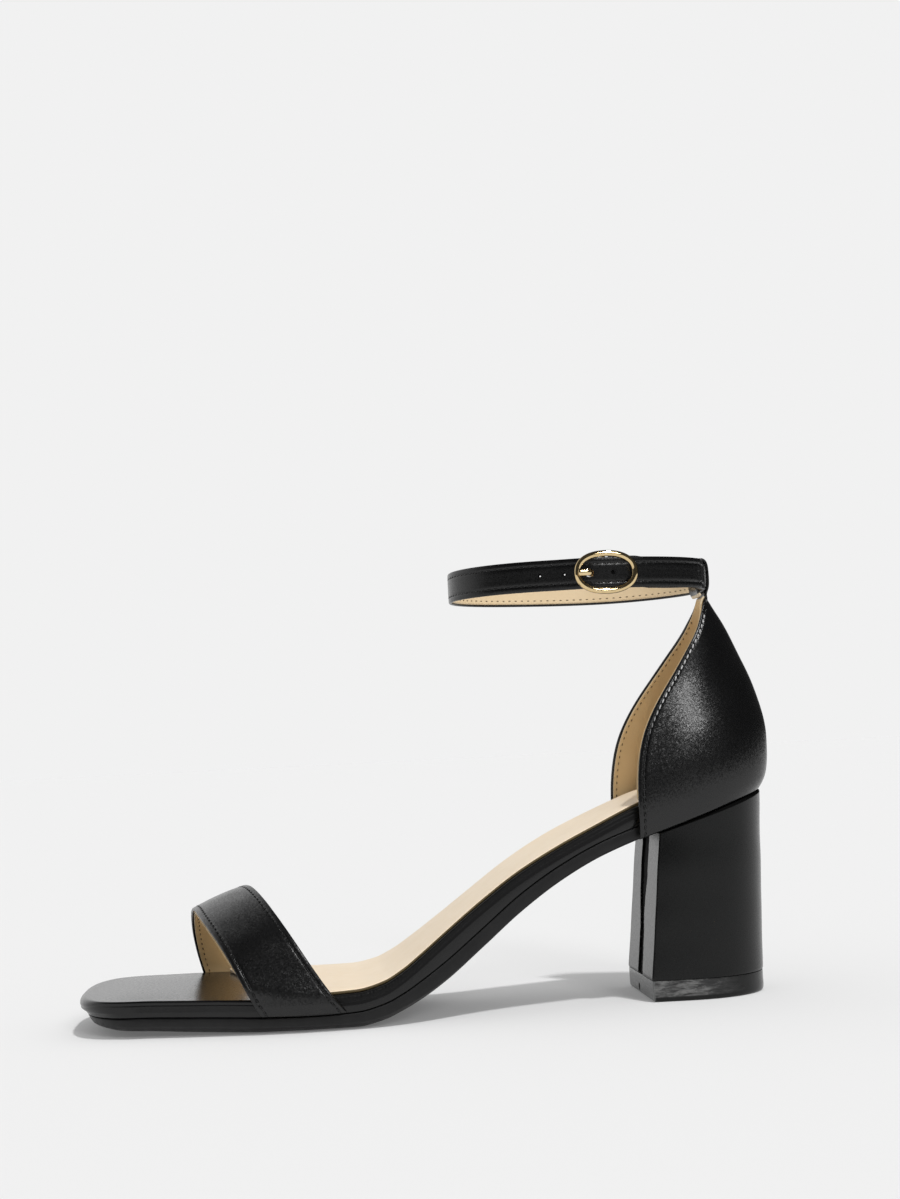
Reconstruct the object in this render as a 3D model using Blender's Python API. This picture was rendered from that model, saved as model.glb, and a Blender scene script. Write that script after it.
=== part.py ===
"""Heeled sandal, left shoe: block heel of 65 mm, toe strap, closed heel counter, buckled ankle strap.

Shoe coordinates, in millimetres: u runs from the back of the heel counter to the toe, v is positive towards the
outer (lateral) side, z is the height over the floor. In the world the toe points to -Y, the outer side to +X.
"""
import math

import bmesh
import bpy
import numpy as np
from mathutils import Matrix, Vector

# ---------------------------------------------------------------- driving dimensions (mm)
MM = 0.001
BACK_U = 1.6              # fullest point of the counter's back
LENGTH = 226.2            # toe tip
U_MID = (BACK_U + LENGTH) / 2   # world origin lies half way along the shoe
V_MID = 0.3               # and half way across it
GAP = 0.3                 # clearance between pieces that touch

HEEL_HEIGHT = 65.0        # floor to heel seat, at the back
HEEL_BACK_U = 4.0         # back of the heel seat
SEAT_SLOPE = 0.318        # the heel seat drops this much per mm towards the toe
BREAST_U = 41.8           # front face of the heel, at the seat
TOP_PIECE_H = 6.6

TOE_TIP_V = -4.0          # the toe tip lies towards the inner side
TOE_ROUND_U = 203.0       # the toe outline starts to close here
TOE_POWER = 2.9           # rounded square toe
BOARD_BACK_U = 8.0        # back end of the insole board, inside the counter
BOARD_ROUND_U = 30.0
BOARD_POWER = 2.2
ARCH_RISE = 1.7           # the board's inner side is raised at the arch
ARCH_U = 74.0
ARCH_SPAN = 23.0

SOCK_T = 1.0              # sock lining
SOCK_INSET = 2.1
SOCK_FRONT = (160.0, 181.0)   # front end of the sock, under the toe strap: outer and inner side
STRAP_T = 1.6             # toe strap, two layers
COUNTER_T = 1.7           # counter wall
LOOP_T = 1.1              # tab folded to a loop
LOOP_W = 11.0

RING_BACK_U = 19.0        # middle of the ankle strap at the back
RING_FRONT_U = 102.4
RING_HALF_W = 28.6
RING_Z = 135.1            # middle height of the ankle strap
ANKLE_T = 1.8
ANKLE_W = 9.8
LAYER = ANKLE_T + GAP     # the free end lies this far out, over the buckle end

BUCKLE_U = 56.4
BUCKLE_LONG = 20.4        # outer size of the oval frame
BUCKLE_HIGH = 13.8
BUCKLE_WIRE = 2.0
BAR_D = 1.4
PRONG_D = 1.2
PRONG_WIDE = 2.2          # flattened, along the strap's width
PRONG_HOLE_D = 2.9
TIP_U = 24.5              # squared end of the free strap, beside the loop

# Sole sections: u; half widths to the outer and inner side; height of the board's top, of the seam between board
# and outsole, of the outsole's lower edge, and of its middle.
SOLE = (
    # u,    lat,  med,  top,  seam, edge, tread
    (4.0,   21.7, 21.7, 72.6, 65.0, 65.0, 65.0),
    (16.0,  21.7, 21.7, 70.3, 61.5, 61.0, 61.0),
    (30.0,  21.7, 21.7, 67.0, 57.4, 57.0, 57.0),
    (43.5,  21.8, 21.5, 63.4, 57.2, 52.9, 52.4),
    (50.0,  22.2, 20.8, 60.9, 54.8, 50.7, 50.2),
    (62.0,  24.4, 18.8, 55.7, 50.6, 46.3, 45.8),
    (75.0,  26.0, 16.6, 49.7, 44.4, 39.7, 39.1),
    (88.0,  27.6, 15.2, 42.7, 36.4, 31.1, 30.5),
    (100.0, 29.4, 15.6, 34.7, 27.2, 21.7, 21.0),
    (112.0, 32.4, 19.0, 25.9, 18.2, 12.8, 11.8),
    (120.0, 34.6, 23.0, 19.9, 13.0, 8.1,  6.9),
    (126.0, 36.0, 26.4, 15.7, 9.5,  5.4,  3.9),
    (132.0, 37.0, 29.8, 12.6, 6.9,  3.2,  1.5),
    (140.0, 37.8, 33.4, 10.8, 5.2,  1.9,  0.0),
    (152.0, 38.0, 36.4, 10.4, 4.8,  1.8,  0.0),
    (168.0, 36.9, 37.4, 10.5, 5.1,  2.1,  0.0),
    (184.0, 34.4, 37.1, 10.9, 5.7,  2.8,  0.5),
    (203.0, 30.2, 35.2, 11.3, 6.2,  3.3,  1.5),
    (227.0, 22.0, 28.0, 11.6, 6.4,  3.6,  2.5),
)
SOLE_COLS = {"lat": 1, "med": 2, "top": 3, "seam": 4, "edge": 5, "tread": 6}

# Toe strap, from the outer end over the foot to the inner end: side position and the height and place of its back
# and front edge. The first and last two rows follow the board's side.
TOE_STRAP = (
    # v,    z_back, z_front, u_back, u_front
    (39.0,  5.6,  5.6,  143.2, 168.8),
    (38.9,  10.6, 10.6, 147.2, 171.6),
    (36.9,  17.8, 16.6, 152.2, 174.8),
    (32.2,  26.0, 23.0, 157.6, 178.6),
    (23.8,  33.4, 28.7, 163.0, 183.0),
    (12.5,  39.1, 32.7, 168.0, 187.0),
    (0.0,   41.5, 34.5, 171.8, 189.6),
    (-11.0, 40.6, 34.2, 174.6, 191.2),
    (-20.5, 36.8, 31.4, 176.2, 192.4),
    (-28.5, 30.0, 26.0, 176.6, 192.8),
    (-34.2, 21.6, 19.3, 175.0, 192.2),
    (-37.6, 14.4, 13.8, 172.6, 191.2),
    (-38.2, 10.4, 10.6, 171.0, 190.2),
    (-38.2, 5.8,  6.2,  169.2, 189.0),
)

# Heel counter, outer face, from the heel seat up to the tab: place and height of the back and of the front edge,
# half width, how full the curve round the back is, how far its ends turn forward, and how far the front edge is drawn
# in. The cup is fullest low down and stands steeper above.
COUNTER = (
    # u_back, z_back, u_front, z_front, half_w, fullness, turn, drawn_in
    (5.6,  64.8,  48.8, 51.1,  24.2, 3.0, 3.0,  0.0),
    (4.5,  66.2,  48.9, 53.2,  24.9, 3.0, 3.0,  0.0),
    (3.0,  68.8,  48.9, 57.0,  25.6, 3.0, 3.0,  0.1),
    (2.0,  72.5,  48.9, 62.2,  26.0, 3.0, 3.0,  0.3),
    (1.6,  77.5,  48.6, 69.0,  25.8, 3.0, 3.0,  0.7),
    (1.6,  83.0,  47.6, 76.6,  25.1, 3.0, 2.9,  1.1),
    (1.9,  88.0,  45.9, 83.0,  24.2, 2.9, 2.75, 1.2),
    (2.6,  92.5,  43.5, 88.4,  23.1, 2.75, 2.55, 1.0),
    (4.5,  99.3,  39.0, 95.9,  21.4, 2.55, 2.25, 0.6),
    (7.2,  106.6, 33.6, 103.4, 19.0, 2.4, 1.97, 0.2),
    (10.3, 114.0, 28.4, 110.8, 15.9, 2.3, 1.75, 0.0),
    (13.1, 120.4, 23.9, 117.4, 12.3, 2.2, 1.45, 0.0),
    (15.3, 124.6, 21.2, 123.0, 8.4,  2.1, 1.25, 0.0),
    (16.8, 127.4, 18.9, 127.2, 5.9,  2.0, 1.0,  0.0),
    (17.4, 129.6, 18.2, 129.6, 5.2,  2.0, 1.0,  0.0),
)

# Heel outline at the top and at the bottom: front face, back, widest half width and where it is, half width at the
# front corners.
HEEL = {
    # front_u, back_u, half_w, wide_u, front_half
    "top": (41.7, 4.3, 22.6, 24.0, 20.2),
    "bottom": (46.9, 6.7, 21.4, 32.0, 20.6),
}

COLOURS = {
    # name: base colour, roughness, metallic
    "black_wrap": ((0.010, 0.010, 0.011), 0.42, 0.0),
    "black_sole": ((0.013, 0.013, 0.014), 0.55, 0.0),
    "tan_sock": ((0.74, 0.58, 0.38), 0.55, 0.0),
    "black_upper": ((0.008, 0.008, 0.009), 0.38, 0.0),
    "pale_gold": ((0.83, 0.66, 0.38), 0.18, 1.0),
    "black_heel": ((0.012, 0.012, 0.013), 0.45, 0.0),
    "black_lift": ((0.016, 0.016, 0.017), 0.40, 0.0),
}


# ---------------------------------------------------------------- curves through the tables
def smooth_row(table, key, keys):
    """Rows between the table's rows: a smooth curve through every column, without overshoot."""
    data = np.asarray(table, float)
    x = np.asarray(keys, float)
    at = np.clip(np.asarray(key, float), x[0], x[-1])
    h = np.diff(x)
    slope = np.diff(data, axis=0) / h[:, None]
    tangent = np.zeros_like(data)
    w1 = (2 * h[1:] + h[:-1])[:, None]
    w2 = (h[1:] + 2 * h[:-1])[:, None]
    same = slope[:-1] * slope[1:] > 0
    safe_a = np.where(same, slope[:-1], 1.0)
    safe_b = np.where(same, slope[1:], 1.0)
    tangent[1:-1] = np.where(same, (w1 + w2) / (w1 / safe_a + w2 / safe_b), 0.0)
    tangent[0], tangent[-1] = slope[0], slope[-1]
    i = np.clip(np.searchsorted(x, at, side="right") - 1, 0, len(h) - 1)
    t = ((at - x[i]) / h[i])[..., None]
    hh = h[i][..., None]
    return (data[i] * (1 + 2 * t) * (1 - t) ** 2 + tangent[i] * hh * t * (1 - t) ** 2
            + data[i + 1] * t * t * (3 - 2 * t) + tangent[i + 1] * hh * t * t * (t - 1))


SOLE_U = [row[0] for row in SOLE]


def sole(column, u):
    """A column of the sole table at any u."""
    return smooth_row(SOLE, np.atleast_1d(np.asarray(u, float)), SOLE_U)[:, SOLE_COLS[column]]


def seat(u):
    """Height of the heel seat plane."""
    return HEEL_HEIGHT - SEAT_SLOPE * (np.asarray(u, float) - HEEL_BACK_U)


def resample(points, count):
    """The same polyline with evenly spaced points."""
    p = np.asarray(points, float)
    d = np.concatenate([[0.0], np.cumsum(np.linalg.norm(np.diff(p, axis=0), axis=1))])
    t = np.linspace(0.0, d[-1], count)
    return np.stack([np.interp(t, d, p[:, k]) for k in range(p.shape[1])], 1)


# ---------------------------------------------------------------- meshes
def make(name, verts, faces, colour, smooth_angle=40.0, place=None):
    """One named object from points in shoe coordinates, or in its own frame when a place is given."""
    mesh = bpy.data.meshes.new(name)
    if place is None:
        pts = [((v - V_MID) * MM, (U_MID - u) * MM, z * MM) for u, v, z in verts]
    else:
        pts = [(a * MM, b * MM, c * MM) for a, b, c in verts]
    mesh.from_pydata(pts, [], faces)
    bm = bmesh.new()
    bm.from_mesh(mesh)
    bmesh.ops.remove_doubles(bm, verts=bm.verts, dist=2e-6)
    bmesh.ops.dissolve_degenerate(bm, edges=bm.edges, dist=1e-6)
    bmesh.ops.triangulate(bm, faces=[f for f in bm.faces if len(f.verts) > 4])
    bmesh.ops.recalc_face_normals(bm, faces=bm.faces)
    if bm.calc_volume(signed=True) < 0:
        bmesh.ops.reverse_faces(bm, faces=bm.faces)
    bm.to_mesh(mesh)
    bm.free()
    mesh.shade_smooth()
    mesh.set_sharp_from_angle(angle=math.radians(smooth_angle))
    mesh.materials.append(material(colour))
    obj = bpy.data.objects.new(name, mesh)
    bpy.context.scene.collection.objects.link(obj)
    if place is not None:
        obj.matrix_world = place
    return obj


def material(colour):
    found = bpy.data.materials.get(colour)
    if found:
        return found
    base, rough, metal = COLOURS[colour]
    mat = bpy.data.materials.new(colour)
    mat.use_nodes = True
    shader = mat.node_tree.nodes["Principled BSDF"]
    shader.inputs["Base Color"].default_value = (*base, 1.0)
    shader.inputs["Roughness"].default_value = rough
    shader.inputs["Metallic"].default_value = metal
    return mat


def board_outline(front_u=None, back_u=None, inset=0.0, count=46):
    """Plan of the board: outer and inner side from heel to toe, as (u, v), with outward normals.

    A given front_u (one value for each side) or back_u cuts the outline straight there."""
    sides = []
    for sign, col, front in ((1.0, "lat", 0), (-1.0, "med", 1)):
        pts = []
        ang = np.linspace(0.0, math.pi / 2, 40)
        if back_u is None:
            w = sole(col, BOARD_ROUND_U)[0]
            a = BOARD_ROUND_U - BOARD_BACK_U
            for t in ang[:-1]:
                pts.append((BOARD_ROUND_U - a * math.cos(t) ** (2 / BOARD_POWER),
                            sign * w * math.sin(t) ** (2 / BOARD_POWER)))
        start = BOARD_ROUND_U if back_u is None else back_u
        end = TOE_ROUND_U if front_u is None else front_u[front]
        for u in np.linspace(start, end, 90):
            pts.append((u, sign * sole(col, u)[0]))
        if front_u is None:
            w = sign * sole(col, TOE_ROUND_U)[0] - TOE_TIP_V
            a = LENGTH - TOE_ROUND_U
            for t in ang[1:]:
                pts.append((TOE_ROUND_U + a * math.sin(t) ** (2 / TOE_POWER),
                            TOE_TIP_V + w * math.cos(t) ** (2 / TOE_POWER)))
        p = resample(pts, count)
        tan = np.gradient(p, axis=0)
        nor = np.stack([-tan[:, 1], tan[:, 0]], 1) * sign
        nor /= np.linalg.norm(nor, axis=1)[:, None]
        for k, open_end, axis in ((0, back_u is None, -1.0), (-1, front_u is None, 1.0)):
            nor[k] = (axis, 0.0) if open_end else (0.0, sign)
        p = p - nor * inset
        sides.append((p, nor))
    return sides


def slab(name, sides, rim, across, colour, top_z, bottom_z):
    """A closed slab on a plan outline.

    rim: list of (inset, height function of u and v) from the innermost bottom ring to the innermost top ring; an inset
    may be a function of u. The top and the
    bottom are then filled straight across, at the heights that top_z and bottom_z give for (u, v, share across)."""
    (lat, nl), (med, nm) = sides
    n = len(lat)
    verts, faces, rings = [], [], []
    for inset, zfun in rim:
        ring = []
        for p, nor in ((lat, nl), (med, nm)):
            q = p - nor * np.array([[inset(u) if callable(inset) else inset] for u in p[:, 0]])
            ring.append([len(verts) + k for k in range(n)])
            verts += [(u, v, float(zfun(u, v))) for u, v in q]
        rings.append(ring)
    for a, b in zip(rings[:-1], rings[1:]):
        for k in range(n - 1):
            faces.append((a[0][k], a[0][k + 1], b[0][k + 1], b[0][k]))
            faces.append((a[1][k + 1], a[1][k], b[1][k], b[1][k + 1]))
    fills = []
    for ring, zfun in ((rings[-1], top_z), (rings[0], bottom_z)):
        cols = []
        for k in range(n):
            a, b = verts[ring[0][k]], verts[ring[1][k]]
            line = [ring[0][k]]
            for s in np.linspace(0, 1, across + 1)[1:-1]:
                u, v = a[0] + (b[0] - a[0]) * s, a[1] + (b[1] - a[1]) * s
                line.append(len(verts))
                verts.append((u, v, float(zfun(u, v, s))))
            cols.append(line + [ring[1][k]])
        for p, q in zip(cols[:-1], cols[1:]):
            for j in range(across):
                faces.append((p[j], p[j + 1], q[j + 1], q[j]))
        fills.append(cols)
    for k in (0, -1):                     # a straight end is one flat face
        if np.linalg.norm(lat[k] - med[k]) > 0.01:
            faces.append(tuple(fills[1][k] + [r[1][k] for r in rings[1:-1]] + fills[0][k][::-1]
                               + [r[0][k] for r in rings[-2:0:-1]]))
    faces = [f for f in faces if len({tuple(np.round(verts[i], 4)) for i in f}) > 2]
    return make(name, verts, faces, colour)


def sheet(name, outer, inner, colour, place=None):
    """A closed wall between two grids of points."""
    rows, cols = outer.shape[:2]
    verts = [tuple(p) for p in outer.reshape(-1, 3)] + [tuple(p) for p in inner.reshape(-1, 3)]
    at = lambda side, i, j: side * rows * cols + i * cols + j
    faces = []
    for i in range(rows - 1):
        for j in range(cols - 1):
            faces.append((at(0, i, j), at(0, i, j + 1), at(0, i + 1, j + 1), at(0, i + 1, j)))
            faces.append((at(1, i, j), at(1, i + 1, j), at(1, i + 1, j + 1), at(1, i, j + 1)))
    for i in range(rows - 1):
        for j in (0, cols - 1):
            faces.append((at(0, i, j), at(0, i + 1, j), at(1, i + 1, j), at(1, i, j)))
    for j in range(cols - 1):
        for i in (0, rows - 1):
            faces.append((at(0, i, j), at(0, i, j + 1), at(1, i, j + 1), at(1, i, j)))
    return make(name, verts, faces, colour, place=place)


def grid_normals(grid):
    n = np.cross(np.gradient(grid, axis=0), np.gradient(grid, axis=1))
    return n / np.linalg.norm(n, axis=2)[..., None]


def tube(name, path, radius, colour, sides=10, closed=False, wide=1.0, place=None):
    """A rod along a path; wide stretches its section in the path's plane normal."""
    p = np.asarray(path, float)
    n = len(p)
    tan = np.roll(p, -1, 0) - np.roll(p, 1, 0) if closed else np.gradient(p, axis=0)
    tan /= np.linalg.norm(tan, axis=1)[:, None]
    side = np.array([0.0, 1.0, 0.0])
    verts, faces = [], []
    for k in range(n):
        a = side - tan[k] * np.dot(side, tan[k])
        if np.linalg.norm(a) < 0.2:
            a = np.array([1.0, 0, 0]) - tan[k] * tan[k][0]
        a /= np.linalg.norm(a)
        b = np.cross(tan[k], a)
        for s in range(sides):
            t = 2 * math.pi * (s + 0.5) / sides
            verts.append(tuple(p[k] + radius * (wide * math.cos(t) * a + math.sin(t) * b)))
    for k in range(n if closed else n - 1):
        q = (k + 1) % n
        for s in range(sides):
            r = (s + 1) % sides
            faces.append((k * sides + s, k * sides + r, q * sides + r, q * sides + s))
    if not closed:
        faces.append(tuple(range(sides)))
        faces.append(tuple((n - 1) * sides + s for s in range(sides)))
    return make(name, verts, faces, colour, place=place)


def join(target, tools, operation):
    """Boolean on the target; the tools are guides that are not part of the shoe."""
    for tool in tools:
        mod = target.modifiers.new(operation.lower(), "BOOLEAN")
        mod.operation = operation
        mod.solver = "EXACT"
        mod.object = tool
        tool.hide_render = True
        tool.display_type = "WIRE"


# ---------------------------------------------------------------- sole
def build_sole():
    def top(u, v):
        """The board's top: raised towards the inner side at the arch."""
        inner = np.clip(-v / sole("med", u)[0], 0.0, 1.0)
        return sole("top", u)[0] + ARCH_RISE * math.exp(-((u - ARCH_U) / ARCH_SPAN) ** 2) * inner ** 2

    def tip(u):
        """How far round the toe: the side of the sole slopes inwards there."""
        t = min(max((u - 204.0) / 22.0, 0.0), 1.0)
        return t * t * (3 - 2 * t)

    seam = lambda u: sole("seam", u)[0]

    def board_bottom(u):
        """The board is thick over the heel seat and thin over the outsole."""
        return float(seat(u)) + GAP if u < BREAST_U + 0.2 else seam(u)

    side_rows = []
    for inset, toe_in, share, drop in ((0.7, 2.0, 0.0, 0.0), (0.1, 1.9, 0.0, -0.8), (0.0, 1.1, 0.5, 0.0), (0.0, 0.3, 1.0, 2.4),
                                       (0.7, 0.0, 1.0, 0.75), (2.3, 0.0, 1.0, 0.0)):
        side_rows.append((lambda u, i=inset, k=toe_in: i + k * tip(u),
                          lambda u, v, s=share, d=drop: board_bottom(u) * (1 - s) + top(u, v) * s - d))
    outline = board_outline(count=56)
    # a station on either side of the step at the heel breast
    for p, _ in outline:
        k = int(np.searchsorted(p[:, 0], BREAST_U + 0.2)) - 1
        p[k, 0], p[k + 1, 0] = BREAST_U + 0.1, BREAST_U + 0.4
    slab("midsole", outline, side_rows, 6, "black_wrap", lambda u, v, s: top(u, v), lambda u, v, s: board_bottom(u))

    edge = lambda u: sole("edge", u)[0]
    tread = lambda u: sole("tread", u)[0]
    crown = lambda u, s: 1.0 - abs(2 * s - 1) ** 4
    rim = [
        (lambda u: 3.0 + 4.0 * tip(u), lambda u, v: edge(u) + (tread(u) - edge(u)) * 0.72),
        (lambda u: 1.0 + 3.8 * tip(u), lambda u, v: edge(u) + (tread(u) - edge(u)) * 0.18),
        (lambda u: 0.2 + 3.3 * tip(u), lambda u, v: edge(u) + 0.5),
        (lambda u: 0.2 + 2.3 * tip(u), lambda u, v: seam(u) - GAP - 0.3),
        (lambda u: 0.8 + 2.3 * tip(u), lambda u, v: seam(u) - GAP),
    ]
    slab("outsole", board_outline(back_u=BREAST_U + 0.75, count=48), rim, 6, "black_sole",
         lambda u, v, s: seam(u) - GAP,
         lambda u, v, s: tread(u) if tread(u) <= 0.001 else
         edge(u) + (tread(u) - edge(u)) * (0.72 + 0.28 * crown(u, s)))

    low = lambda u, v: top(u, v) + GAP
    rim = [(0.5, low), (0.0, lambda u, v: low(u, v) + 0.3), (0.0, lambda u, v: low(u, v) + SOCK_T - 0.3),
           (0.5, lambda u, v: low(u, v) + SOCK_T)]
    sock = board_outline(front_u=SOCK_FRONT, inset=SOCK_INSET, count=44)
    slab("insole", sock, rim, 6, "tan_sock", lambda u, v, s: low(u, v) + SOCK_T, lambda u, v, s: low(u, v))


# ---------------------------------------------------------------- upper
def build_toe_strap():
    rows = np.asarray(TOE_STRAP)
    keys = np.concatenate([[0.0], np.cumsum(np.hypot(np.diff(rows[:, 0]), np.diff(rows[:, 1])))])
    fine = smooth_row(rows, np.linspace(0, keys[-1], 37), keys)
    along = np.linspace(0.0, 1.0, 6)
    grid = np.zeros((len(fine), len(along), 3))
    for i, (v, zb, zf, ub, uf) in enumerate(fine):
        for j, t in enumerate(along):
            u = ub + (uf - ub) * t
            z = zb + (zf - zb) * t
            # beside the board the strap follows its outline
            reach = sole("lat", u)[0] if v > 0 else sole("med", u)[0]
            beside = np.clip((15.0 - z) / 4.0, 0.0, 1.0)
            hug = math.copysign(reach + GAP + STRAP_T / 2 + 0.1, v)
            crown = 0.5 * math.sin(math.pi * t) * np.clip((z - 14.0) / 10.0, 0.0, 1.0)
            grid[i, j] = (u, v + (hug - v) * beside, z + crown)
    n = grid_normals(grid)
    return sheet("toe_strap", grid + n * STRAP_T / 2, grid - n * STRAP_T / 2, "black_upper")


def counter_grid(levels, around, wall):
    """Face of the heel counter; wall moves it inwards."""
    rows = np.asarray(COUNTER)
    keys = np.concatenate([[0.0], np.cumsum(np.hypot(np.diff(rows[:, 0]), np.diff(rows[:, 1])))])
    fine = smooth_row(rows, np.linspace(0, keys[-1], levels), keys)
    grid = np.zeros((levels, around, 3))
    for i, (ub, zb, uf, zf, hw, p, turn, draw) in enumerate(fine):
        half = []
        for a in np.linspace(0.0, math.pi / 2, 60):
            x = 1.0 - max(math.cos(a), 0.0) ** (2 / turn)
            inwards = draw * max(2 * x - 1, 0.0) ** 2
            half.append((ub + (uf - ub) * x, hw * math.sin(a) ** (2 / p) - inwards, zb + (zf - zb) * x))
        line = [(u, -v, z) for u, v, z in half[:0:-1]] + half
        grid[i] = resample(line[::-1], around)
    n = grid_normals(grid)
    inward = (np.array([40.0, 0.0, 0.0]) - grid) * np.array([1.0, 1.0, 0.0])
    n *= np.sign(np.sum(n * inward, axis=2))[..., None]
    n[0, :, 2] = 0.0                      # the lower edge stays on the heel seat
    n[0] /= np.linalg.norm(n[0], axis=1)[:, None]
    return grid + n * wall


def build_counter():
    around, levels = 29, 20
    outer = counter_grid(levels, around, 0.0)
    inner = counter_grid(levels, around, COUNTER_T)
    inner[0, :, 2] = seat(inner[0, :, 0]) + GAP
    outer[0, :, 2] = seat(outer[0, :, 0]) + GAP
    counter = sheet("heel_counter", outer, inner, "black_upper")
    # the tab goes up outside the strap, over it and down inside: a flat ring, open from side to side
    half_t = ANKLE_T / 2 + GAP
    half_h = ANKLE_W / 2 + GAP
    ring_out, ring_in = [], []
    m, steps = 20, 5
    for k in range(m):
        a = 2 * math.pi * (k + 0.5) / m
        c, s = math.cos(a), math.sin(a)
        sq = lambda x, n: math.copysign(abs(x) ** (2 / n), x)
        ring_in.append((half_t * sq(c, 5), half_h * sq(s, 8)))
        ring_out.append(((half_t + LOOP_T) * sq(c, 4), (half_h + LOOP_T) * sq(s, 6)))
    verts, faces = [], []
    for j in range(steps):
        v = LOOP_W * (j / (steps - 1) - 0.5)
        bend = ring_bend(v)
        for ring in (ring_out, ring_in):
            verts += [(RING_BACK_U + bend + a, v, RING_Z + b) for a, b in ring]
    for j in range(steps - 1):
        for side in (0, 1):
            for k in range(m):
                r = (k + 1) % m
                a, b = (2 * j + side) * m, (2 * j + 2 + side) * m
                faces.append((a + k, a + r, b + r, b + k))
    for j in (0, steps - 1):
        for k in range(m):
            r = (k + 1) % m
            a, b = 2 * j * m, (2 * j + 1) * m
            faces.append((a + k, a + r, b + r, b + k))
    loop = make("loop_guide", verts, faces, "black_upper")
    join(counter, [loop], "UNION")
    return counter


# ---------------------------------------------------------------- ankle strap and buckle
RING_MID_U = (RING_BACK_U + RING_FRONT_U) / 2
RING_HALF_L = (RING_FRONT_U - RING_BACK_U) / 2
RING_POWER = 2.15


def ring_point(angle):
    """Middle line of the ankle strap in plan; 0 at the back, growing towards the outer side."""
    c, s = math.cos(angle), math.sin(angle)
    sq = lambda x: math.copysign(abs(x) ** (2 / RING_POWER), x)
    return np.array([RING_MID_U - RING_HALF_L * sq(c), RING_HALF_W * sq(s)])


def ring_bend(v):
    """How far the ring lies in front of its back end, v to the side."""
    return RING_HALF_L * (1.0 - (1.0 - abs(v / RING_HALF_W) ** RING_POWER) ** (1 / RING_POWER))


def ring_line():
    """Dense middle line once round the ring, from the back over the outer side, with outward normals and lengths."""
    p = np.array([ring_point(a) for a in np.linspace(0.0, 2 * math.pi, 1441)])
    p = resample(p, 1200)
    tan = np.gradient(p, axis=0)
    tan[0] = tan[-1] = (0.0, 1.0)
    tan /= np.linalg.norm(tan, axis=1)[:, None]
    return p, np.stack([-tan[:, 1], tan[:, 0]], 1)


def outer_side_index(p, u):
    """Index of the point on the outer side at u."""
    half = len(p) // 2
    return int(np.argmin(np.abs(p[:half, 0] - u)))


def build_ankle_strap():
    p, nor = ring_line()
    n = len(p)
    step = float(np.linalg.norm(p[10] - p[9]))
    start = outer_side_index(p, BUCKLE_U - BAR_D / 2 - GAP - 0.2)     # the buckle end, behind the bar
    tip = outer_side_index(p, TIP_U)
    ramp_end = outer_side_index(p, BUCKLE_U + 2.5)
    ramp_start = outer_side_index(p, BUCKLE_U + 17.0)
    # the strap leaves the bar to the back, goes round the inner side and the front, and ends over its own beginning
    path = list(range(start, -1, -1)) + list(range(n - 1, tip - 1, -1))
    rows = []
    for order, k in enumerate(path):
        lift = 0.0
        if order > start:
            t = np.clip((ramp_start - k) / (ramp_start - ramp_end), 0.0, 1.0)
            lift = LAYER * t * t * (3 - 2 * t)
        rows.append((*(p[k] + nor[k] * lift), *nor[k]))
    rows = np.asarray(rows)
    rows = resample(rows, 96)
    high = np.array([-0.5, -0.42, 0.42, 0.5]) * ANKLE_W
    outer = np.zeros((len(rows), len(high), 3))
    inner = np.zeros_like(outer)
    for i, (u, v, nu, nv) in enumerate(rows):
        k = math.hypot(nu, nv)
        for j, dz in enumerate(high):
            soft = 0.3 if j in (0, len(high) - 1) else 0.0
            out = ANKLE_T / 2 - soft
            outer[i, j] = (u + nu / k * out, v + nv / k * out, RING_Z + dz)
            inner[i, j] = (u - nu / k * out, v - nv / k * out, RING_Z + dz)
    strap = sheet("ankle_strap", outer, inner, "black_upper")
    place = buckle_place()
    hole = tube("prong_hole", [(PRONG_REACH, y, 0.0) for y in (-6.0, 6.0)], PRONG_HOLE_D / 2, "black_upper", sides=12,
                place=place)
    join(strap, [hole], "DIFFERENCE")
    return strap


PRONG_REACH = 4.8         # strap hole to bar


def buckle_place():
    """Frame of the buckle: x towards the toe along the strap, y outwards, z up; origin on the strap's outer face."""
    p, nor = ring_line()
    k = outer_side_index(p, BUCKLE_U)
    out = np.array([nor[k][1], -nor[k][0], 0.0])          # world x, y
    out /= np.linalg.norm(out)
    face = p[k] + nor[k] * (LAYER + ANKLE_T / 2)
    pos = Vector(((face[1] - V_MID) * MM, (U_MID - face[0]) * MM, RING_Z * MM))
    y = Vector(out)
    z = Vector((0, 0, 1))
    x = y.cross(z)
    return Matrix.Translation(pos) @ Matrix((x, y, z)).transposed().to_4x4()


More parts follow.
